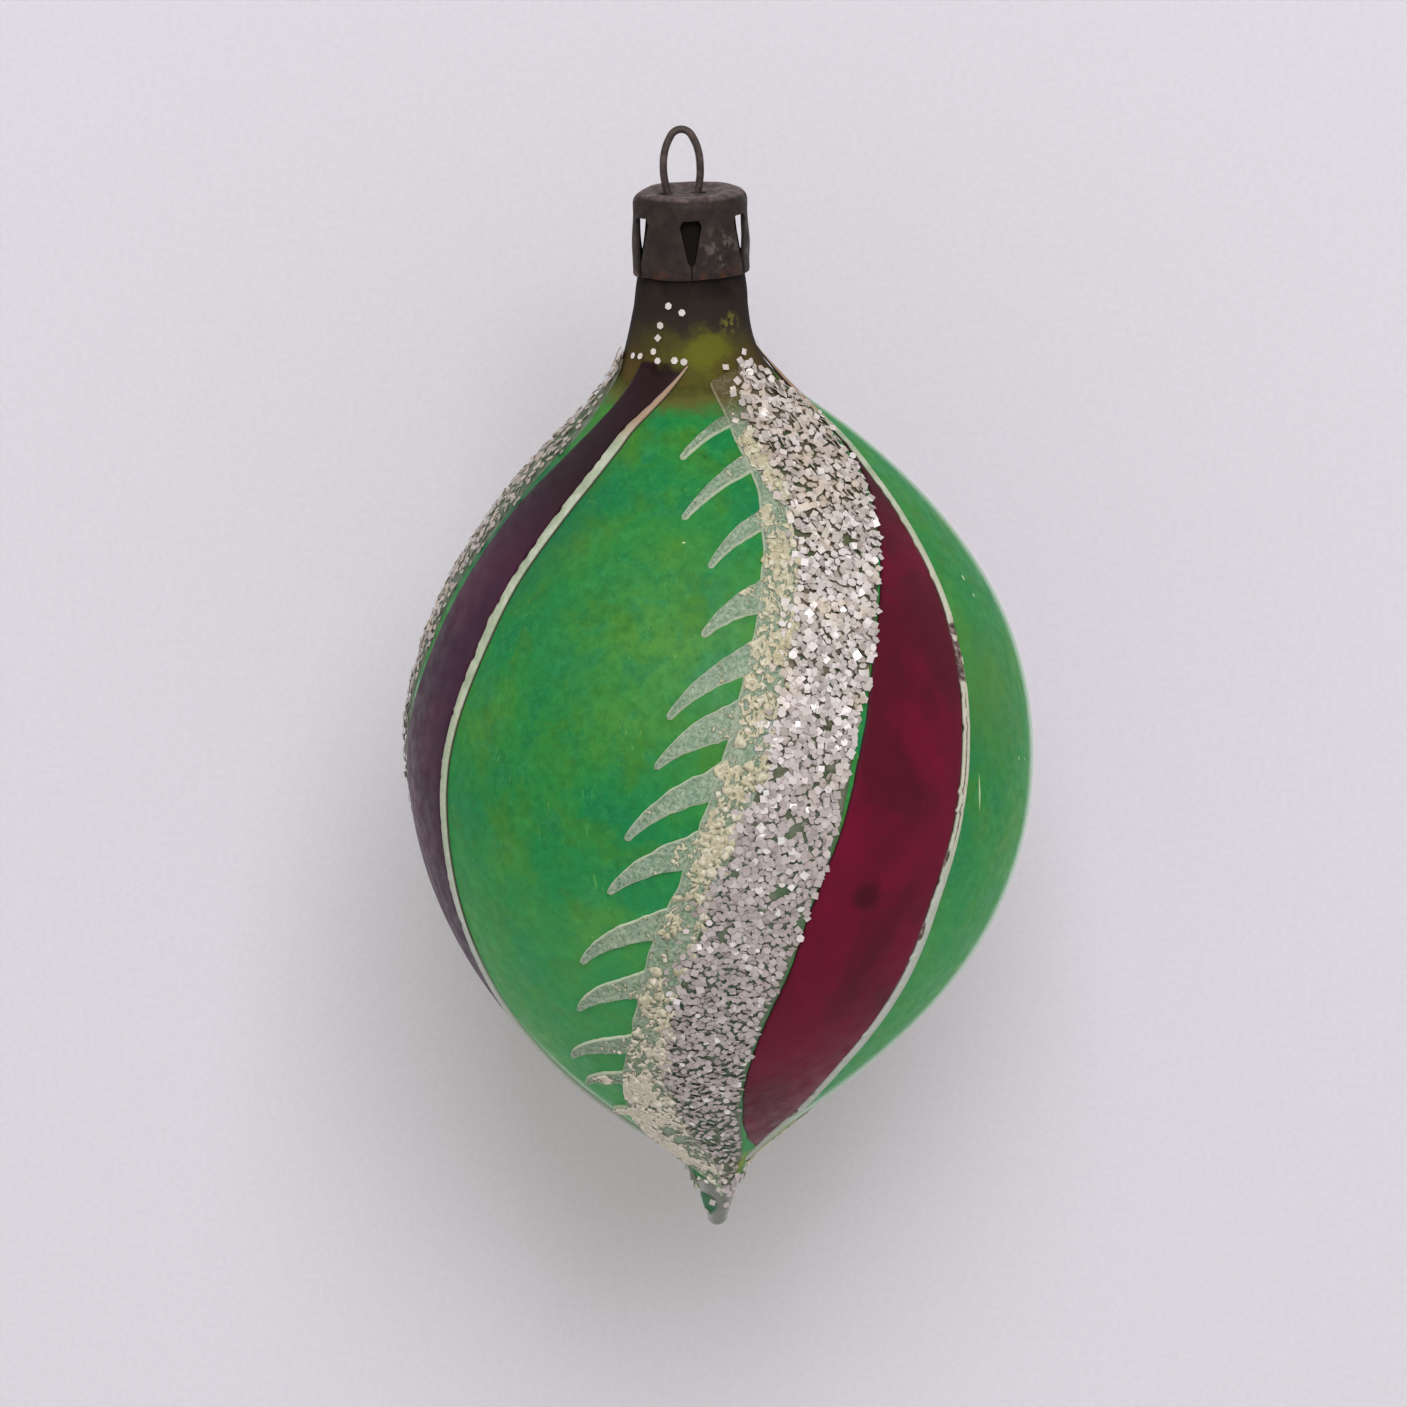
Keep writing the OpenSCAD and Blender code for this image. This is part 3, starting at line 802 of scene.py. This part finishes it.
def crust_chips(k, random):
    """Loose chips of dried glue along the stem, thickest where the crust is."""
    count = 1700
    depth = random.uniform(18, 83.4, count)
    into = random.uniform(0.1, 1, count) * (follow(depth, STEM_WIDTHS) + 1.0)
    turn = stem_left(depth, k) + wide_turn(depth, into)
    crust = crust_at(depth, into, CRUST_SEED + 10 * k)
    often = (0.08 + 0.5 * crust + 0.12 * fade(depth, 64, 68)) * (1 - 0.45 * fade(depth, 73, 77))
    chosen = random.random(count) < often
    depth, turn = depth[chosen], turn[chosen]
    size = random.uniform(0.45, 1.4, len(depth)) * (1 - 0.3 * fade(depth, 72, 82))
    lift = random.uniform(0.26, 0.5, len(depth))
    points, faces, (tone,) = flakes(depth, turn, lift, size, 0.36, 8, random, 0.06, 0.6)
    return points, faces, [np.full(len(points), 0.6), 1 + tone]


def relief_material():
    """Frosted paint that lets the green through, with yellowed crust where glue dried on it; painted
    shade outlines the crust and painted light brightens it lower down.
    """
    g = Graph("frosted_relief_paint")
    crust = g.value("crust")
    g.colour = g.ramp(
        g.noise(0.24, 4, 0.6), (0.3, 138, 164, 138), (0.5, 160, 182, 156), (0.7, 188, 202, 178))
    g.lay((186, 198, 170), g.span(g.noise(1.4, 3), 0.4, 0.65, 0, 0.4))
    g.lay((132, 114, 76), g.span(g.depth, 18.5, 15.5))
    frost = g.colour
    g.colour = g.ramp(
        g.noise(0.4, 4, 0.7, 0.6), (0.28, 140, 136, 104), (0.42, 192, 187, 152),
        (0.56, 216, 211, 178), (0.7, 234, 229, 206),
    )
    g.lay((204, 186, 138), g.span(g.noise(3.0, 3), 0.5, 0.64), g.span(g.depth, 46, 30, 0.04, 0.3))
    # Painted light: the crust lighter towards the bottom, which faces away from the lamp.
    g.lay((246, 240, 224), g.span(g.depth, 58, 74, 0, 0.6))
    g.lay((150, 144, 112), g.span(crust, 0.95, 1.0), g.span(crust, 1.0, 1.3, 0.4, 0))
    g.lay((240, 235, 216), g.span(crust, 1.5, 2.0, 0, 0.6))
    g.colour = g.mix(g.span(crust, 0.1, 0.5), frost, g.colour)
    # Painted shade: dark outlines round the crust patches and curls.
    g.lay((98, 100, 70), g.span(crust, 0.08, 0.24), g.span(crust, 0.55, 0.3), 0.7)
    middle = g.math("ABSOLUTE", g.math("SUBTRACT", g.noise(1.1, 2, 0.6, 1.2), 0.5))
    free = g.span(crust, 0.3, 0.1)
    g.lay((226, 228, 196), g.span(middle, 0.004, 0.022, 1, 0), 0.45, free)
    g.lay((84, 112, 76), g.span(g.noise(0.6, 3, 0.6, 0.8), 0.6, 0.68), 0.5, free)
    outline = g.span(g.value("rim"), 0.04, 0.2, 1, 0)
    g.lay((214, 220, 188), outline, g.span(g.depth, 15, 20, 0.2, 0.65))
    body = g.times(g.span(g.noise(0.35, 4, 0.6), 0.3, 0.7, 0.44, 0.84), g.span(g.depth, 15, 19, 0.4, 1))
    cover = g.math("MAXIMUM", g.span(crust, 0.05, 0.4), g.math("MAXIMUM", body, outline))
    return g.principled(
        Roughness=g.vary(0.5, 3, 0.42, 0.7), Normal=g.bump(g.noise(0.28, 4), 0.14, 0.9),
        Alpha=cover, Specular_IOR_Level=0.3,
    )


def make_comb(k, material, random):
    teeth = FRONT_TEETH if k == 0 else rear_teeth(k, random)
    parts = [stem(k)]
    parts += [tooth(*size, k, 100 + 20 * k + i) for i, size in enumerate(teeth)]
    parts.append(crust_chips(k, random))
    install_coat(
        k, "comb_relief", merged(parts), material, "frosted_relief", "comb_band", "rim", "crust")


# -------- glitter

def glue_material(name, thin_from, thin_to):
    """The dried glue under the flakes: brownish above, darkened there as painted shade between the
    flakes, a thin grey-green film further down.
    """
    g = Graph(name)
    low = g.span(g.depth, thin_from, thin_to)
    # The dark browns are partly the glue's own colour and partly painted shade in the gaps between
    # flakes.
    g.colour = g.ramp(g.noise(0.7, 4, 0.65), (0.3, 70, 64, 48), (0.5, 104, 96, 76), (0.7, 146, 134, 112))
    g.lay((118, 134, 110), low, 0.8)
    patchy = g.span(g.noise(1.6, 3), 0.34, 0.6, 0.5, 0.95)
    thin = g.span(g.noise(1.9, 3), 0.4, 0.6, 0.5, 0.9)
    return g.principled(
        Roughness=g.vary(0.6, 3, 0.35, 0.6), Normal=g.bump(g.noise(0.4, 3), 0.08, 0.7),
        Alpha=g.add("Mix", {0: low, 2: patchy, 3: thin}, data_type="FLOAT").outputs[0],
        Specular_IOR_Level=0.25,
    )


def make_glue(k, material):
    """The bumpy film of glue that a band's flakes lie in."""
    depth = np.arange(13.6, 83.6, 0.25)[:, None]
    left = drawn_turn(depth, GLITTER_LEFTS, k) + wide_turn(depth, 0.3)
    spill = 0.6 * fade(depth, 38, 46) - 0.1 - 0.12 * ripple(1.2, 90 + k, depth)
    right = drawn_turn(depth, GLITTER_RIGHTS, k) + wide_turn(depth, spill)
    right = np.minimum(right, drawn_turn(depth, STRIPE_LEFTS, k) - wide_turn(depth, 0.1))
    depth, turn, _, rim = strip(depth, left, right, np.linspace(0, 1, 36))
    high = 0.13 + fade(rim, 0, 0.3) * (0.09 + 0.04 * ripple(0.7, 95 + k, depth, turn * 0.4))
    install_coat(k, "glitter_glue", closed_sheet(depth, turn, high), material, "glitter", "glitter_band")


def flake_material():
    """Aged silver-white flakes, duller lower down as painted shade; a few still flash."""
    g = Graph("silver_flake")
    tone = g.value("tone")
    g.colour = g.ramp(
        tone, (0, 168, 160, 150), (0.35, 200, 194, 184), (0.8, 228, 223, 215), (1, 252, 250, 244))
    g.lay((216, 198, 164), g.span(g.noise(2.6, 3), 0.5, 0.7), g.span(g.depth, 66, 40, 0.15, 0.5))
    g.lay((186, 168, 138), g.span(g.noise(1.1, 3), 0.42, 0.62), g.span(g.depth, 27, 19, 0, 0.55))
    g.lay((212, 194, 182), g.span(g.noise(4.5, 2), 0.5, 0.65, 0, 0.2))
    # Painted shade: all but the brightest flakes duller from the middle of the bulb down.
    g.lay((176, 166, 160), g.span(g.depth, 34, 50), g.span(tone, 0.97, 0.9, 0, 0.68))
    return g.principled(
        Roughness=g.vary(0.3, 2, 0.34, 0.5), Metallic=g.span(tone, 0.86, 0.96, 0.12, 0.8),
        Specular_IOR_Level=0.4,
    )


def unit(vectors):
    return vectors / np.linalg.norm(vectors, axis=-1, keepdims=True)


def circles(u, v, corners):
    """Points of unit circles that lie in the planes of two sets of axes."""
    a = (np.arange(corners) * 2 * np.pi / corners)[None, :, None]
    return np.cos(a) * u[:, None] + np.sin(a) * v[:, None]


def surface_axes(depth, turn):
    """Outward, rightward and downward directions at points of the bulb."""
    slope = slope_at(depth)
    a = np.radians(turn)
    out = unit(np.stack([np.sin(a), -np.cos(a), slope], -1))
    right = np.stack([np.cos(a), np.sin(a), np.zeros_like(a)], -1)
    return out, right, np.cross(out, right)


def flakes(depth, turn, lift, size, tilt, corners, random, thick=0.04, ragged=0.0):
    """Thin square or six-sided flakes, each leaning its own way and cut ragged if asked."""
    count = len(depth)
    out, right, down = surface_axes(depth, turn)
    lean = random.normal(0, tilt, (count, 2))
    normal = unit(out + lean[:, :1] * right + lean[:, 1:] * down)
    spin = random.uniform(0, 2 * np.pi, (count, 1))
    u = np.cos(spin) * right + np.sin(spin) * down
    u = unit(u - normal * np.sum(u * normal, 1, keepdims=True))
    v = np.cross(normal, u)
    spread = (size * MM / 2)[:, None, None] * random.uniform(1 - ragged, 1, (count, corners, 1))
    ring = on_bulb(depth, turn, lift)[:, None] + spread * circles(u, v, corners)
    half = normal[:, None] * thick * MM / 2
    points = np.concatenate([ring + half, ring - half], 1).reshape(-1, 3)
    cap = np.array([[0, i, i + 1, i + 2] for i in range(1, corners - 2, 2)])
    i = np.arange(corners)
    side = np.stack([i, i + corners, (i + 1) % corners + corners, (i + 1) % corners], 1)
    one = np.concatenate([cap, cap[:, ::-1] + corners, side])
    faces = (one[None] + np.arange(count)[:, None, None] * 2 * corners).reshape(-1, 4)
    tone = np.repeat(random.uniform(0, 1, count), 2 * corners)
    return points, faces, [tone]


def mixed_flakes(depth, turn, lift, size, tilt, random):
    """Squares with some six-sided flakes among them; a square's size is its side."""
    square = random.random(len(depth)) < 0.6
    parts = []
    for chosen, corners, grow in ((square, 4, 1.32), (~square, 6, 1.08)):
        chosen_size = size[chosen] * grow
        parts.append(flakes(
            depth[chosen], turn[chosen], lift[chosen], chosen_size, tilt, corners, random))
    return merged(parts)


# How many flakes lie beside each band.
STRAYS = 46

# What sets a band's flakes apart: the one on the left is thin, flat, small and dull.
FULL = {"dense": 1, "size": 1, "tilt": 0.33, "tone": 1}
THIN = {"dense": 0.52, "size": 0.8, "tilt": 0.16, "tone": 0.3}
GRADES = [FULL, THIN, FULL]


def band_spots(k, random):
    """Where the flakes of a band lie: a jittered grid, thinner along the comb and near the tip."""
    pitch = 0.42
    depth, across = np.meshgrid(np.arange(13.6, 84, pitch), np.arange(-6.5, 6.5, pitch))
    depth = depth.ravel() + random.uniform(-0.17, 0.17, depth.size)
    across = across.ravel() + random.uniform(-0.2, 0.2, across.size)
    edges = drawn_turn(depth, GLITTER_LEFTS, k), drawn_turn(depth, GLITTER_RIGHTS, k)
    centre, half = (edges[0] + edges[1]) / 2, np.radians(edges[1] - edges[0]) / 2 * radius_at(depth)
    left = across + half + 0.35 * ripple(2.5, 110 + k, depth)
    right = half - across + 0.15 * ripple(2, 115 + k, depth)
    holes = ripple(1.6, 120 + k, depth, across)
    dense = 0.98 - 0.65 * fade(holes, 0.45, 0.75) * fade(depth, 34, 42) * fade(depth, 62, 56)
    dense = dense - 0.15 * fade(holes, 0.5, 0.8) - 0.3 * fade(depth, 71, 77) * fade(across, -1, 1)
    dense = dense * GRADES[k]["dense"]
    dense = dense * (0.15 + 0.85 * fade(left, -0.1, 1)) * fade(right, -0.05, 0.1) * fade(left, -0.9, 0)
    keep = random.random(depth.size) < dense
    depth, across, centre = depth[keep], across[keep], centre[keep]
    return depth, centre + wide_turn(depth, across)


def make_glitter(k, material, random):
    """The flakes of a band with a few strays beside it; the left edge's are smaller and duller."""
    depth, turn = band_spots(k, random)
    count = len(depth)
    stray_depth = random.uniform(16, 80, STRAYS)
    on_right = random.random(STRAYS) < 0.35
    left, right = (drawn_turn(stray_depth, edges, k) for edges in (GLITTER_LEFTS, GLITTER_RIGHTS))
    away = wide_turn(stray_depth, np.abs(random.normal(0.1, 0.25, STRAYS)))
    stray_turn = np.where(on_right, right + away * 0.5, left - away * 2)
    depth, turn = np.append(depth, stray_depth), np.append(turn, stray_turn)
    lift = np.append(random.uniform(0.26, 0.56, count), np.full(STRAYS, 0.3))
    size = random.normal(0.6, 0.07, count + STRAYS).clip(0.38, 0.78) * GRADES[k]["size"]
    size = size * (1 - 0.1 * fade(depth, 44, 56)) * (1 - 0.25 * fade(depth, 70, 82))
    points, faces, (tone,) = mixed_flakes(depth, turn, lift, size, GRADES[k]["tilt"], random)
    sheet = points, faces, [tone * GRADES[k]["tone"]]
    install_coat(
        k, "glitter_flakes", sheet, material, "glitter", "glitter_band", "tone", smooth=False)


# Flakes that strayed to the front of the neck and to the tip, as (depth, turn).
NECK_FLAKES = [
    (13, -58), (12.9, -48), (12.4, -34), (13.1, -29), (13, -14), (13.1, -6), (8.7, -23), (9.2, -9),
    (10.3, -30), (11.3, -31), (12.8, 52), (13.4, 44), (33.7, 33), (32.3, 35),
]
TIP_FLAKES = [
    (86, -50), (85.1, -18), (84.4, 35), (83.7, 42), (83.1, 9), (81.6, 14), (82, 35), (81.5, -5),
    (81.5, -19), (83, 56), (84.6, 60), (82.4, 22), (84, 24), (85.4, 30),
]


def make_stray_flakes(material, random):
    """A thin ring of flakes at the foot of the neck, and a few on the drawn tip."""
    front = np.array(NECK_FLAKES + TIP_FLAKES, float)
    ring, tip = 22, 14
    depth = np.concatenate([front[:, 0], random.normal(13, 0.4, ring), random.uniform(81.5, 85, tip)])
    turn = np.concatenate([front[:, 1], random.uniform(80, 280, ring), random.uniform(90, 250, tip)])
    size = random.uniform(0.5, 0.62, len(depth))
    lift = np.full(len(depth), 0.16)
    points, faces, (tone,) = mixed_flakes(depth, turn, lift, size, 0.1, random)
    obj = make_object("stray_flakes", points, faces, smooth=False, tone=0.5 + 0.35 * tone)
    install(obj, material, "glass_ball", "glitter", "glitter_band_1")


# -------- cap and hanger

# The cap's slots, the seams below them, its radius and tin, and where the wire's legs pass it.
SLOTS = 6
SLOT_TOP = 1.8
SLOT_FOOT = 5.2
SEAMS = [0.1, 0.4, 0.3, 0.45, 0.35, 0.42]
CAP_R = 4.6
CAP_SHIFT = -0.12
WIRE_SHIFT = -0.72
LEG_X = 1.3
TIN = 0.28


def tin_material():
    """Oxidised tin plate: paler on the crown, partly mottled tin and partly a painted highlight along its
    top edge, scuffed at the right, rusty at the lower edge.
    """
    g = Graph("oxidised_tin")
    pale = g.ramp(g.noise(0.9, 4, 0.7), (0.35, 72, 60, 56), (0.55, 118, 104, 100), (0.7, 150, 136, 128))
    g.colour = g.ramp(g.noise(1.5, 5, 0.65), (0.3, 42, 34, 30), (0.5, 49, 41, 36), (0.72, 61, 53, 44))
    # The pale crown is partly mottled tin and partly a painted highlight along the cap's top edge.
    g.colour = g.mix(g.times(g.span(g.depth, 0.42, 0.12), 0.8), g.colour, pale)
    scuffed = g.near((2.4, -4.2, CAP_TOP - 4.2), 2.6)
    g.lay((128, 118, 108), scuffed, g.span(g.noise(0.8, 3), 0.5, 0.62), 0.6)
    edge = g.span(g.depth, CAP_H - 1.2, CAP_H - 0.1)
    g.lay((86, 50, 35), edge, g.span(g.noise(1.1, 4), 0.46, 0.62), 0.75)
    g.lay((30, 24, 22), g.span(g.cells(0.45)[0], 0.05, 0.14, 0.4, 0))
    height = g.math("ADD", g.noise(0.5, 4), g.times(g.noise(2.4, 2), 1.5))
    return g.principled(
        Roughness=g.vary(0.7, 4, 0.48, 0.78), Metallic=0.45, Normal=g.bump(height, 0.06, 0.7),
        Specular_IOR_Level=0.35,
    )


def cap_profile():
    """Rows of (depth, radius) from the centre of the dish to the upper end of the slots."""
    dish = [(0.27, 0.15), (0.26, 0.9), (0.25, 1.7), (0.24, 2.3), (0.2, 2.65), (0.06, 2.95), (0, 3.2)]
    round_r = 1.0
    arc = np.radians(np.linspace(80, 0, 9))
    shoulder = [(round_r - round_r * np.sin(a), CAP_R - round_r + round_r * np.cos(a)) for a in arc]
    wall = [(d, CAP_R) for d in (1.2, 1.4, 1.6, SLOT_TOP)]
    return dish + [(0.0, 3.5)] + shoulder + wall


def dent(points):
    """Bends, dents and lifts the stamped sheet a little, as handling has done."""
    x, y, z = points.T / MM
    depth = CAP_TOP - z
    turn = np.degrees(np.arctan2(x, -y))
    radius = np.hypot(x, y)
    prong = fade(depth, 2.5, CAP_H)
    push = 0.09 * ripple(2.6, 131, x, y, z) + prong * 0.11 * ripple(3.2, 137, x, y)
    knock = 0.22 * np.exp(-((turn + 50) / 22) ** 2 - ((depth - 0.9) / 0.9) ** 2)
    grow = 1 + (push - knock) / np.maximum(radius, 2)
    sag = 0.07 * ripple(2.2, 133, x, y) * fade(radius, 0, 2) + 0.015 * x - knock * 0.4
    return np.stack([x * grow, y * grow, z + sag], 1) * MM


def slot_half_width(depth, seam):
    """Half the width of a slot: wide at the top, tapering, then a narrow seam to the edge."""
    return np.interp(depth, [1.8, 2.3, SLOT_FOOT, 5.5, 6.6], [0.65, 0.92, 0.3, seam / 2, seam / 2])


def cap_sheet():
    """The outer face of the cap: whole above the slots, six separate prongs below."""
    sector = 360 / SLOTS
    prong_cols, slot_cols = 22, 6
    slot_half = np.degrees(0.65 / CAP_R)
    prong = np.linspace(slot_half, sector - slot_half, prong_cols + 1)
    gap = np.linspace(sector - slot_half, sector + slot_half, slot_cols + 1)[1:-1]
    turns = np.concatenate([np.append(prong, gap) + i * sector for i in range(SLOTS)])
    rows = cap_profile()
    cols = len(turns)
    top = [placed(depth, radius, turns, CAP_SHIFT) for depth, radius in rows]
    faces = grid_faces(len(rows), cols, closed=True)
    points = [np.concatenate(top)]
    start = len(rows) * cols
    ring = (len(rows) - 1) * cols
    depths = [1.86, 1.96, 2.1, 2.3, 2.7, 3.2, 3.8, 4.4, 4.9, 5.2, 5.35, 5.5, 5.8, 6.2, CAP_H]
    for i in range(SLOTS):
        first = ring + i * (prong_cols + slot_cols) + np.arange(prong_cols + 1)
        ids = [first]
        for depth in depths:
            radius = CAP_R + (SKIRT_R - CAP_R) * (depth - SLOT_TOP) / (CAP_H - SLOT_TOP)
            start_half = np.degrees(slot_half_width(depth, SEAMS[i]) / radius)
            end_half = np.degrees(slot_half_width(depth, SEAMS[(i + 1) % SLOTS]) / radius)
            turn = np.linspace(start_half, sector - end_half, prong_cols + 1) + i * sector
            points.append(placed(depth, radius, turn, CAP_SHIFT))
            ids.append(start + np.arange(prong_cols + 1))
            start += prong_cols + 1
        faces = np.concatenate([faces, quads(np.array(ids))])
    faces = faces.tolist() + [list(range(cols))[::-1]]
    return dent(np.concatenate(points)), faces


def wire_hole(side):
    """A cutter for the long hole that a leg of the wire passes through."""
    a = np.radians(np.arange(0, 360, 15))
    x = WIRE_SHIFT + side * LEG_X + 0.45 * np.cos(a) + 0.2 * np.sign(np.cos(a))
    y = 0.42 * np.sin(a)
    low, high = (np.stack([x, y, np.full(len(a), z)], 1) for z in (CAP_TOP - 1.4, CAP_TOP + 1))
    i = np.arange(len(a))
    after = np.roll(i, -1)
    faces = np.stack([i, after, after + len(a), i + len(a)], 1).tolist() + end_faces(2, len(a))
    return make_object(f"hole_cutter_{side}", np.concatenate([low, high]) * MM, faces, smooth=False)


def make_cap(material):
    """The stamped cap: a sheet given its thickness, two wire holes and worn edges."""
    points, faces = cap_sheet()
    obj = make_object("tin_cap", points, faces)
    put(obj.modifiers.new("thickness", "SOLIDIFY"), thickness=TIN * MM, offset=-1)
    cutters = [wire_hole(side) for side in (-1, 1)]
    for cutter in cutters:
        hole = obj.modifiers.new("hole", "BOOLEAN")
        put(hole, object=cutter, operation="DIFFERENCE", solver="EXACT")
    bevel = obj.modifiers.new("worn_edges", "BEVEL")
    put(bevel, width=0.05 * MM, segments=2, angle_limit=math.radians(40))
    apply_modifiers(obj)
    for cutter in cutters:
        bpy.data.objects.remove(cutter)
    obj.data.polygons.foreach_set("use_smooth", [True] * len(obj.data.polygons))
    install(obj, material, "cap", "aged_tin", "hanger_cap")


# Half of the wire from the top of the loop: (radius, turn) of each bend.
HALF_WIRE = [(1, 58), (4.5, 32), (7.5, 18), (0.9, -28)]
WIRE_R = 0.31


def wire_path():
    """Points of the right half of the wire from its crown, in X and Z."""
    x, z, heading = 0.0, WIRE_HIGH[2] - WIRE_R, 0.0
    path = [(x, z)]
    for radius, turn in HALF_WIRE:
        steps = math.ceil(abs(turn) / 3)
        side = math.copysign(radius, turn)
        for _ in range(steps):
            after = heading + math.radians(turn / steps)
            x += side * (math.sin(after) - math.sin(heading))
            z += side * (math.cos(after) - math.cos(heading))
            heading = after
            path.append((x, z))
    fall = z - WIRE_LOW[2]
    splay = fall / math.tan(heading)
    for share in np.linspace(0, 1, 24)[1:]:
        path.append((x + splay * share, z - fall * share))
    return np.array(path)


def wire_material():
    """Dull dark wire with a little rust."""
    g = Graph("dark_old_wire")
    g.colour = g.ramp(g.noise(0.7, 4, 0.65), (0.3, 52, 44, 40), (0.5, 74, 64, 58), (0.7, 104, 90, 80))
    g.lay((98, 60, 42), g.span(g.noise(1.6, 3), 0.56, 0.7), 0.4)
    return g.principled(
        Roughness=g.vary(0.4, 3, 0.42, 0.7), Normal=g.bump(g.noise(0.25, 4), 0.04, 0.8), Metallic=0.4)


def make_wire(material, sides=20):
    """The bent wire, leaning a little to the left as it hangs."""
    right = wire_path()
    half = np.concatenate([(right * [-1, 1])[:0:-1], right])
    x, z = half.T
    y = 0.05 * ripple(4, 141, x, z)
    narrow = 1 - 0.03 * fade(z, CAP_TOP + 0.5, CAP_TOP + 3)
    x = x * narrow + WIRE_SHIFT * fade(z, CAP_TOP - 6, CAP_TOP - 1.5) + 0.03 * ripple(2.5, 143, x, z)
    line = np.stack([x, y, z], 1)
    along = unit(np.gradient(line, axis=0))
    across = unit(np.cross(along, [0, 1, 0]))
    radius = WIRE_R * (1 + 0.03 * ripple(0.8, 147, x, z))
    offset = radius[:, None, None] * circles(across, np.cross(across, along), sides)
    points = (line[:, None] + offset).reshape(-1, 3) * MM
    faces = grid_faces(len(line), sides, closed=True).tolist() + end_faces(len(line), sides)
    obj = make_object("wire_hanger", points, [face[::-1] for face in faces])
    install(obj, material, "hanger", "aged_wire", "hanger_wire")


# -------- stage, lights and camera

AIM_DEPTH = 42.7
CAMERA_DISTANCE = 0.6
CAMERA_ELEVATION = 14
CAMERA_ROLL = 1.35
CAMERA_LENS = 187.3
ROOM_COLOUR = (0.545, 0.53, 0.49, 1)
KEY_COLOUR = (0.9, 0.86, 1.0)
KEY_DIRECTION = (0.08, -0.79, 0.55)
KEY_DISTANCE = 1.0
KEY_SIZE = 0.45
KEY_POWER = 6.05
SWEEP_FRONT = -1.6
SWEEP_TOP = 1.5
SWEEP_HALF_WIDTH = 2.0
SWEEP_R = 0.035
WALL_Y = 0.045
FLOOR_Z = -0.17


def paper_material():
    """Pale paper, seen from its front only."""
    g = Graph("pale_paper")
    colour = g.ramp(g.noise(0.5, 3), (0.35, 228, 227, 228), (0.65, 232, 231, 232))
    paper = g.add("BsdfDiffuse", {"Color": colour, "Roughness": 0.9})
    clear = g.add("BsdfTransparent")
    back = g.add("NewGeometry").outputs["Backfacing"]
    both = g.add("MixShader", {0: back, 1: paper.outputs[0], 2: clear.outputs[0]})
    g.add("OutputMaterial", {0: both.outputs[0]})
    return g.material


def make_sweep():
    """A sheet of paper that runs along the floor and curves up behind the ornament."""
    arc = np.linspace(0, np.pi / 2, 24)
    y = np.concatenate([[SWEEP_FRONT], WALL_Y - SWEEP_R + SWEEP_R * np.sin(arc), [WALL_Y]])
    z = np.concatenate([[FLOOR_Z], FLOOR_Z + SWEEP_R - SWEEP_R * np.cos(arc), [SWEEP_TOP]])
    x = np.array([-SWEEP_HALF_WIDTH, SWEEP_HALF_WIDTH])
    points = np.stack([np.tile(x, len(y)), np.repeat(y, 2), np.repeat(z, 2)], 1)
    sweep = make_object("paper_sweep", points, grid_faces(len(y), 2)[:, ::-1])
    sweep.data.materials.append(paper_material())


def light_scene(aim):
    """An even pale room with one square soft light in front and above."""
    world = bpy.data.worlds.new("pale_room")
    world.use_nodes = True
    background = world.node_tree.nodes["Background"]
    background.inputs["Color"].default_value = ROOM_COLOUR
    background.inputs["Strength"].default_value = 1.0
    bpy.context.scene.world = world
    light = bpy.data.lights.new("key", "AREA")
    key = bpy.data.objects.new("key", put(light, size=KEY_SIZE, energy=KEY_POWER, color=KEY_COLOUR))
    direction = Vector(KEY_DIRECTION).normalized()
    key.location = aim + direction * KEY_DISTANCE
    key.rotation_euler = (-direction).to_track_quat("-Z", "Y").to_euler()
    bpy.context.scene.collection.objects.link(key)


def add_camera(aim):
    """A long lens a little above the ornament, rolled as the ornament leans."""
    elevation = math.radians(CAMERA_ELEVATION)
    back = Vector((0, -math.cos(elevation), math.sin(elevation)))
    lens = put(bpy.data.cameras.new("camera"), sensor_width=36, lens=CAMERA_LENS)
    camera = bpy.data.objects.new("camera", lens)
    turn = (-back).to_track_quat("-Z", "Y") @ Quaternion((0, 0, 1), math.radians(-CAMERA_ROLL))
    camera.matrix_world = Matrix.Translation(aim + back * CAMERA_DISTANCE) @ turn.to_matrix().to_4x4()
    bpy.context.scene.collection.objects.link(camera)
    bpy.context.scene.camera = camera


def main():
    aim = Vector((0, 0, (CAP_TOP - AIM_DEPTH) * MM))
    add_camera(aim)
    light_scene(aim)
    make_sweep()
    bpy.context.scene.view_settings.view_transform = "Standard"
    make_glass(glass_material())
    make_lacquer(lacquer_material())
    burgundy = stripe_material("burgundy_stripe", (84, 17, 32), (108, 14, 43), (66, 15, 26), (60, 18, 26))
    plum = stripe_material("dark_plum_stripe", (56, 27, 47), (72, 33, 52), (45, 24, 38), (42, 24, 28))
    for k, (paint, slot) in enumerate(
            [(burgundy, "burgundy_paint"), (plum, "dark_plum_paint"), (burgundy, "burgundy_paint")]):
        make_stripe(k, paint, slot)
    cream, relief, silver = line_material(), relief_material(), flake_material()
    glues = [glue_material("glitter_glue", 34, 52), glue_material("thin_glitter_glue", 12, 18)]
    for k in range(len(REPEATS)):
        make_line(k, cream)
        make_comb(k, relief, rng)
        make_glue(k, glues[k % 2])
        make_glitter(k, silver, rng)
    make_stray_flakes(silver, rng)
    make_cap(tin_material())
    make_wire(wire_material())


main()
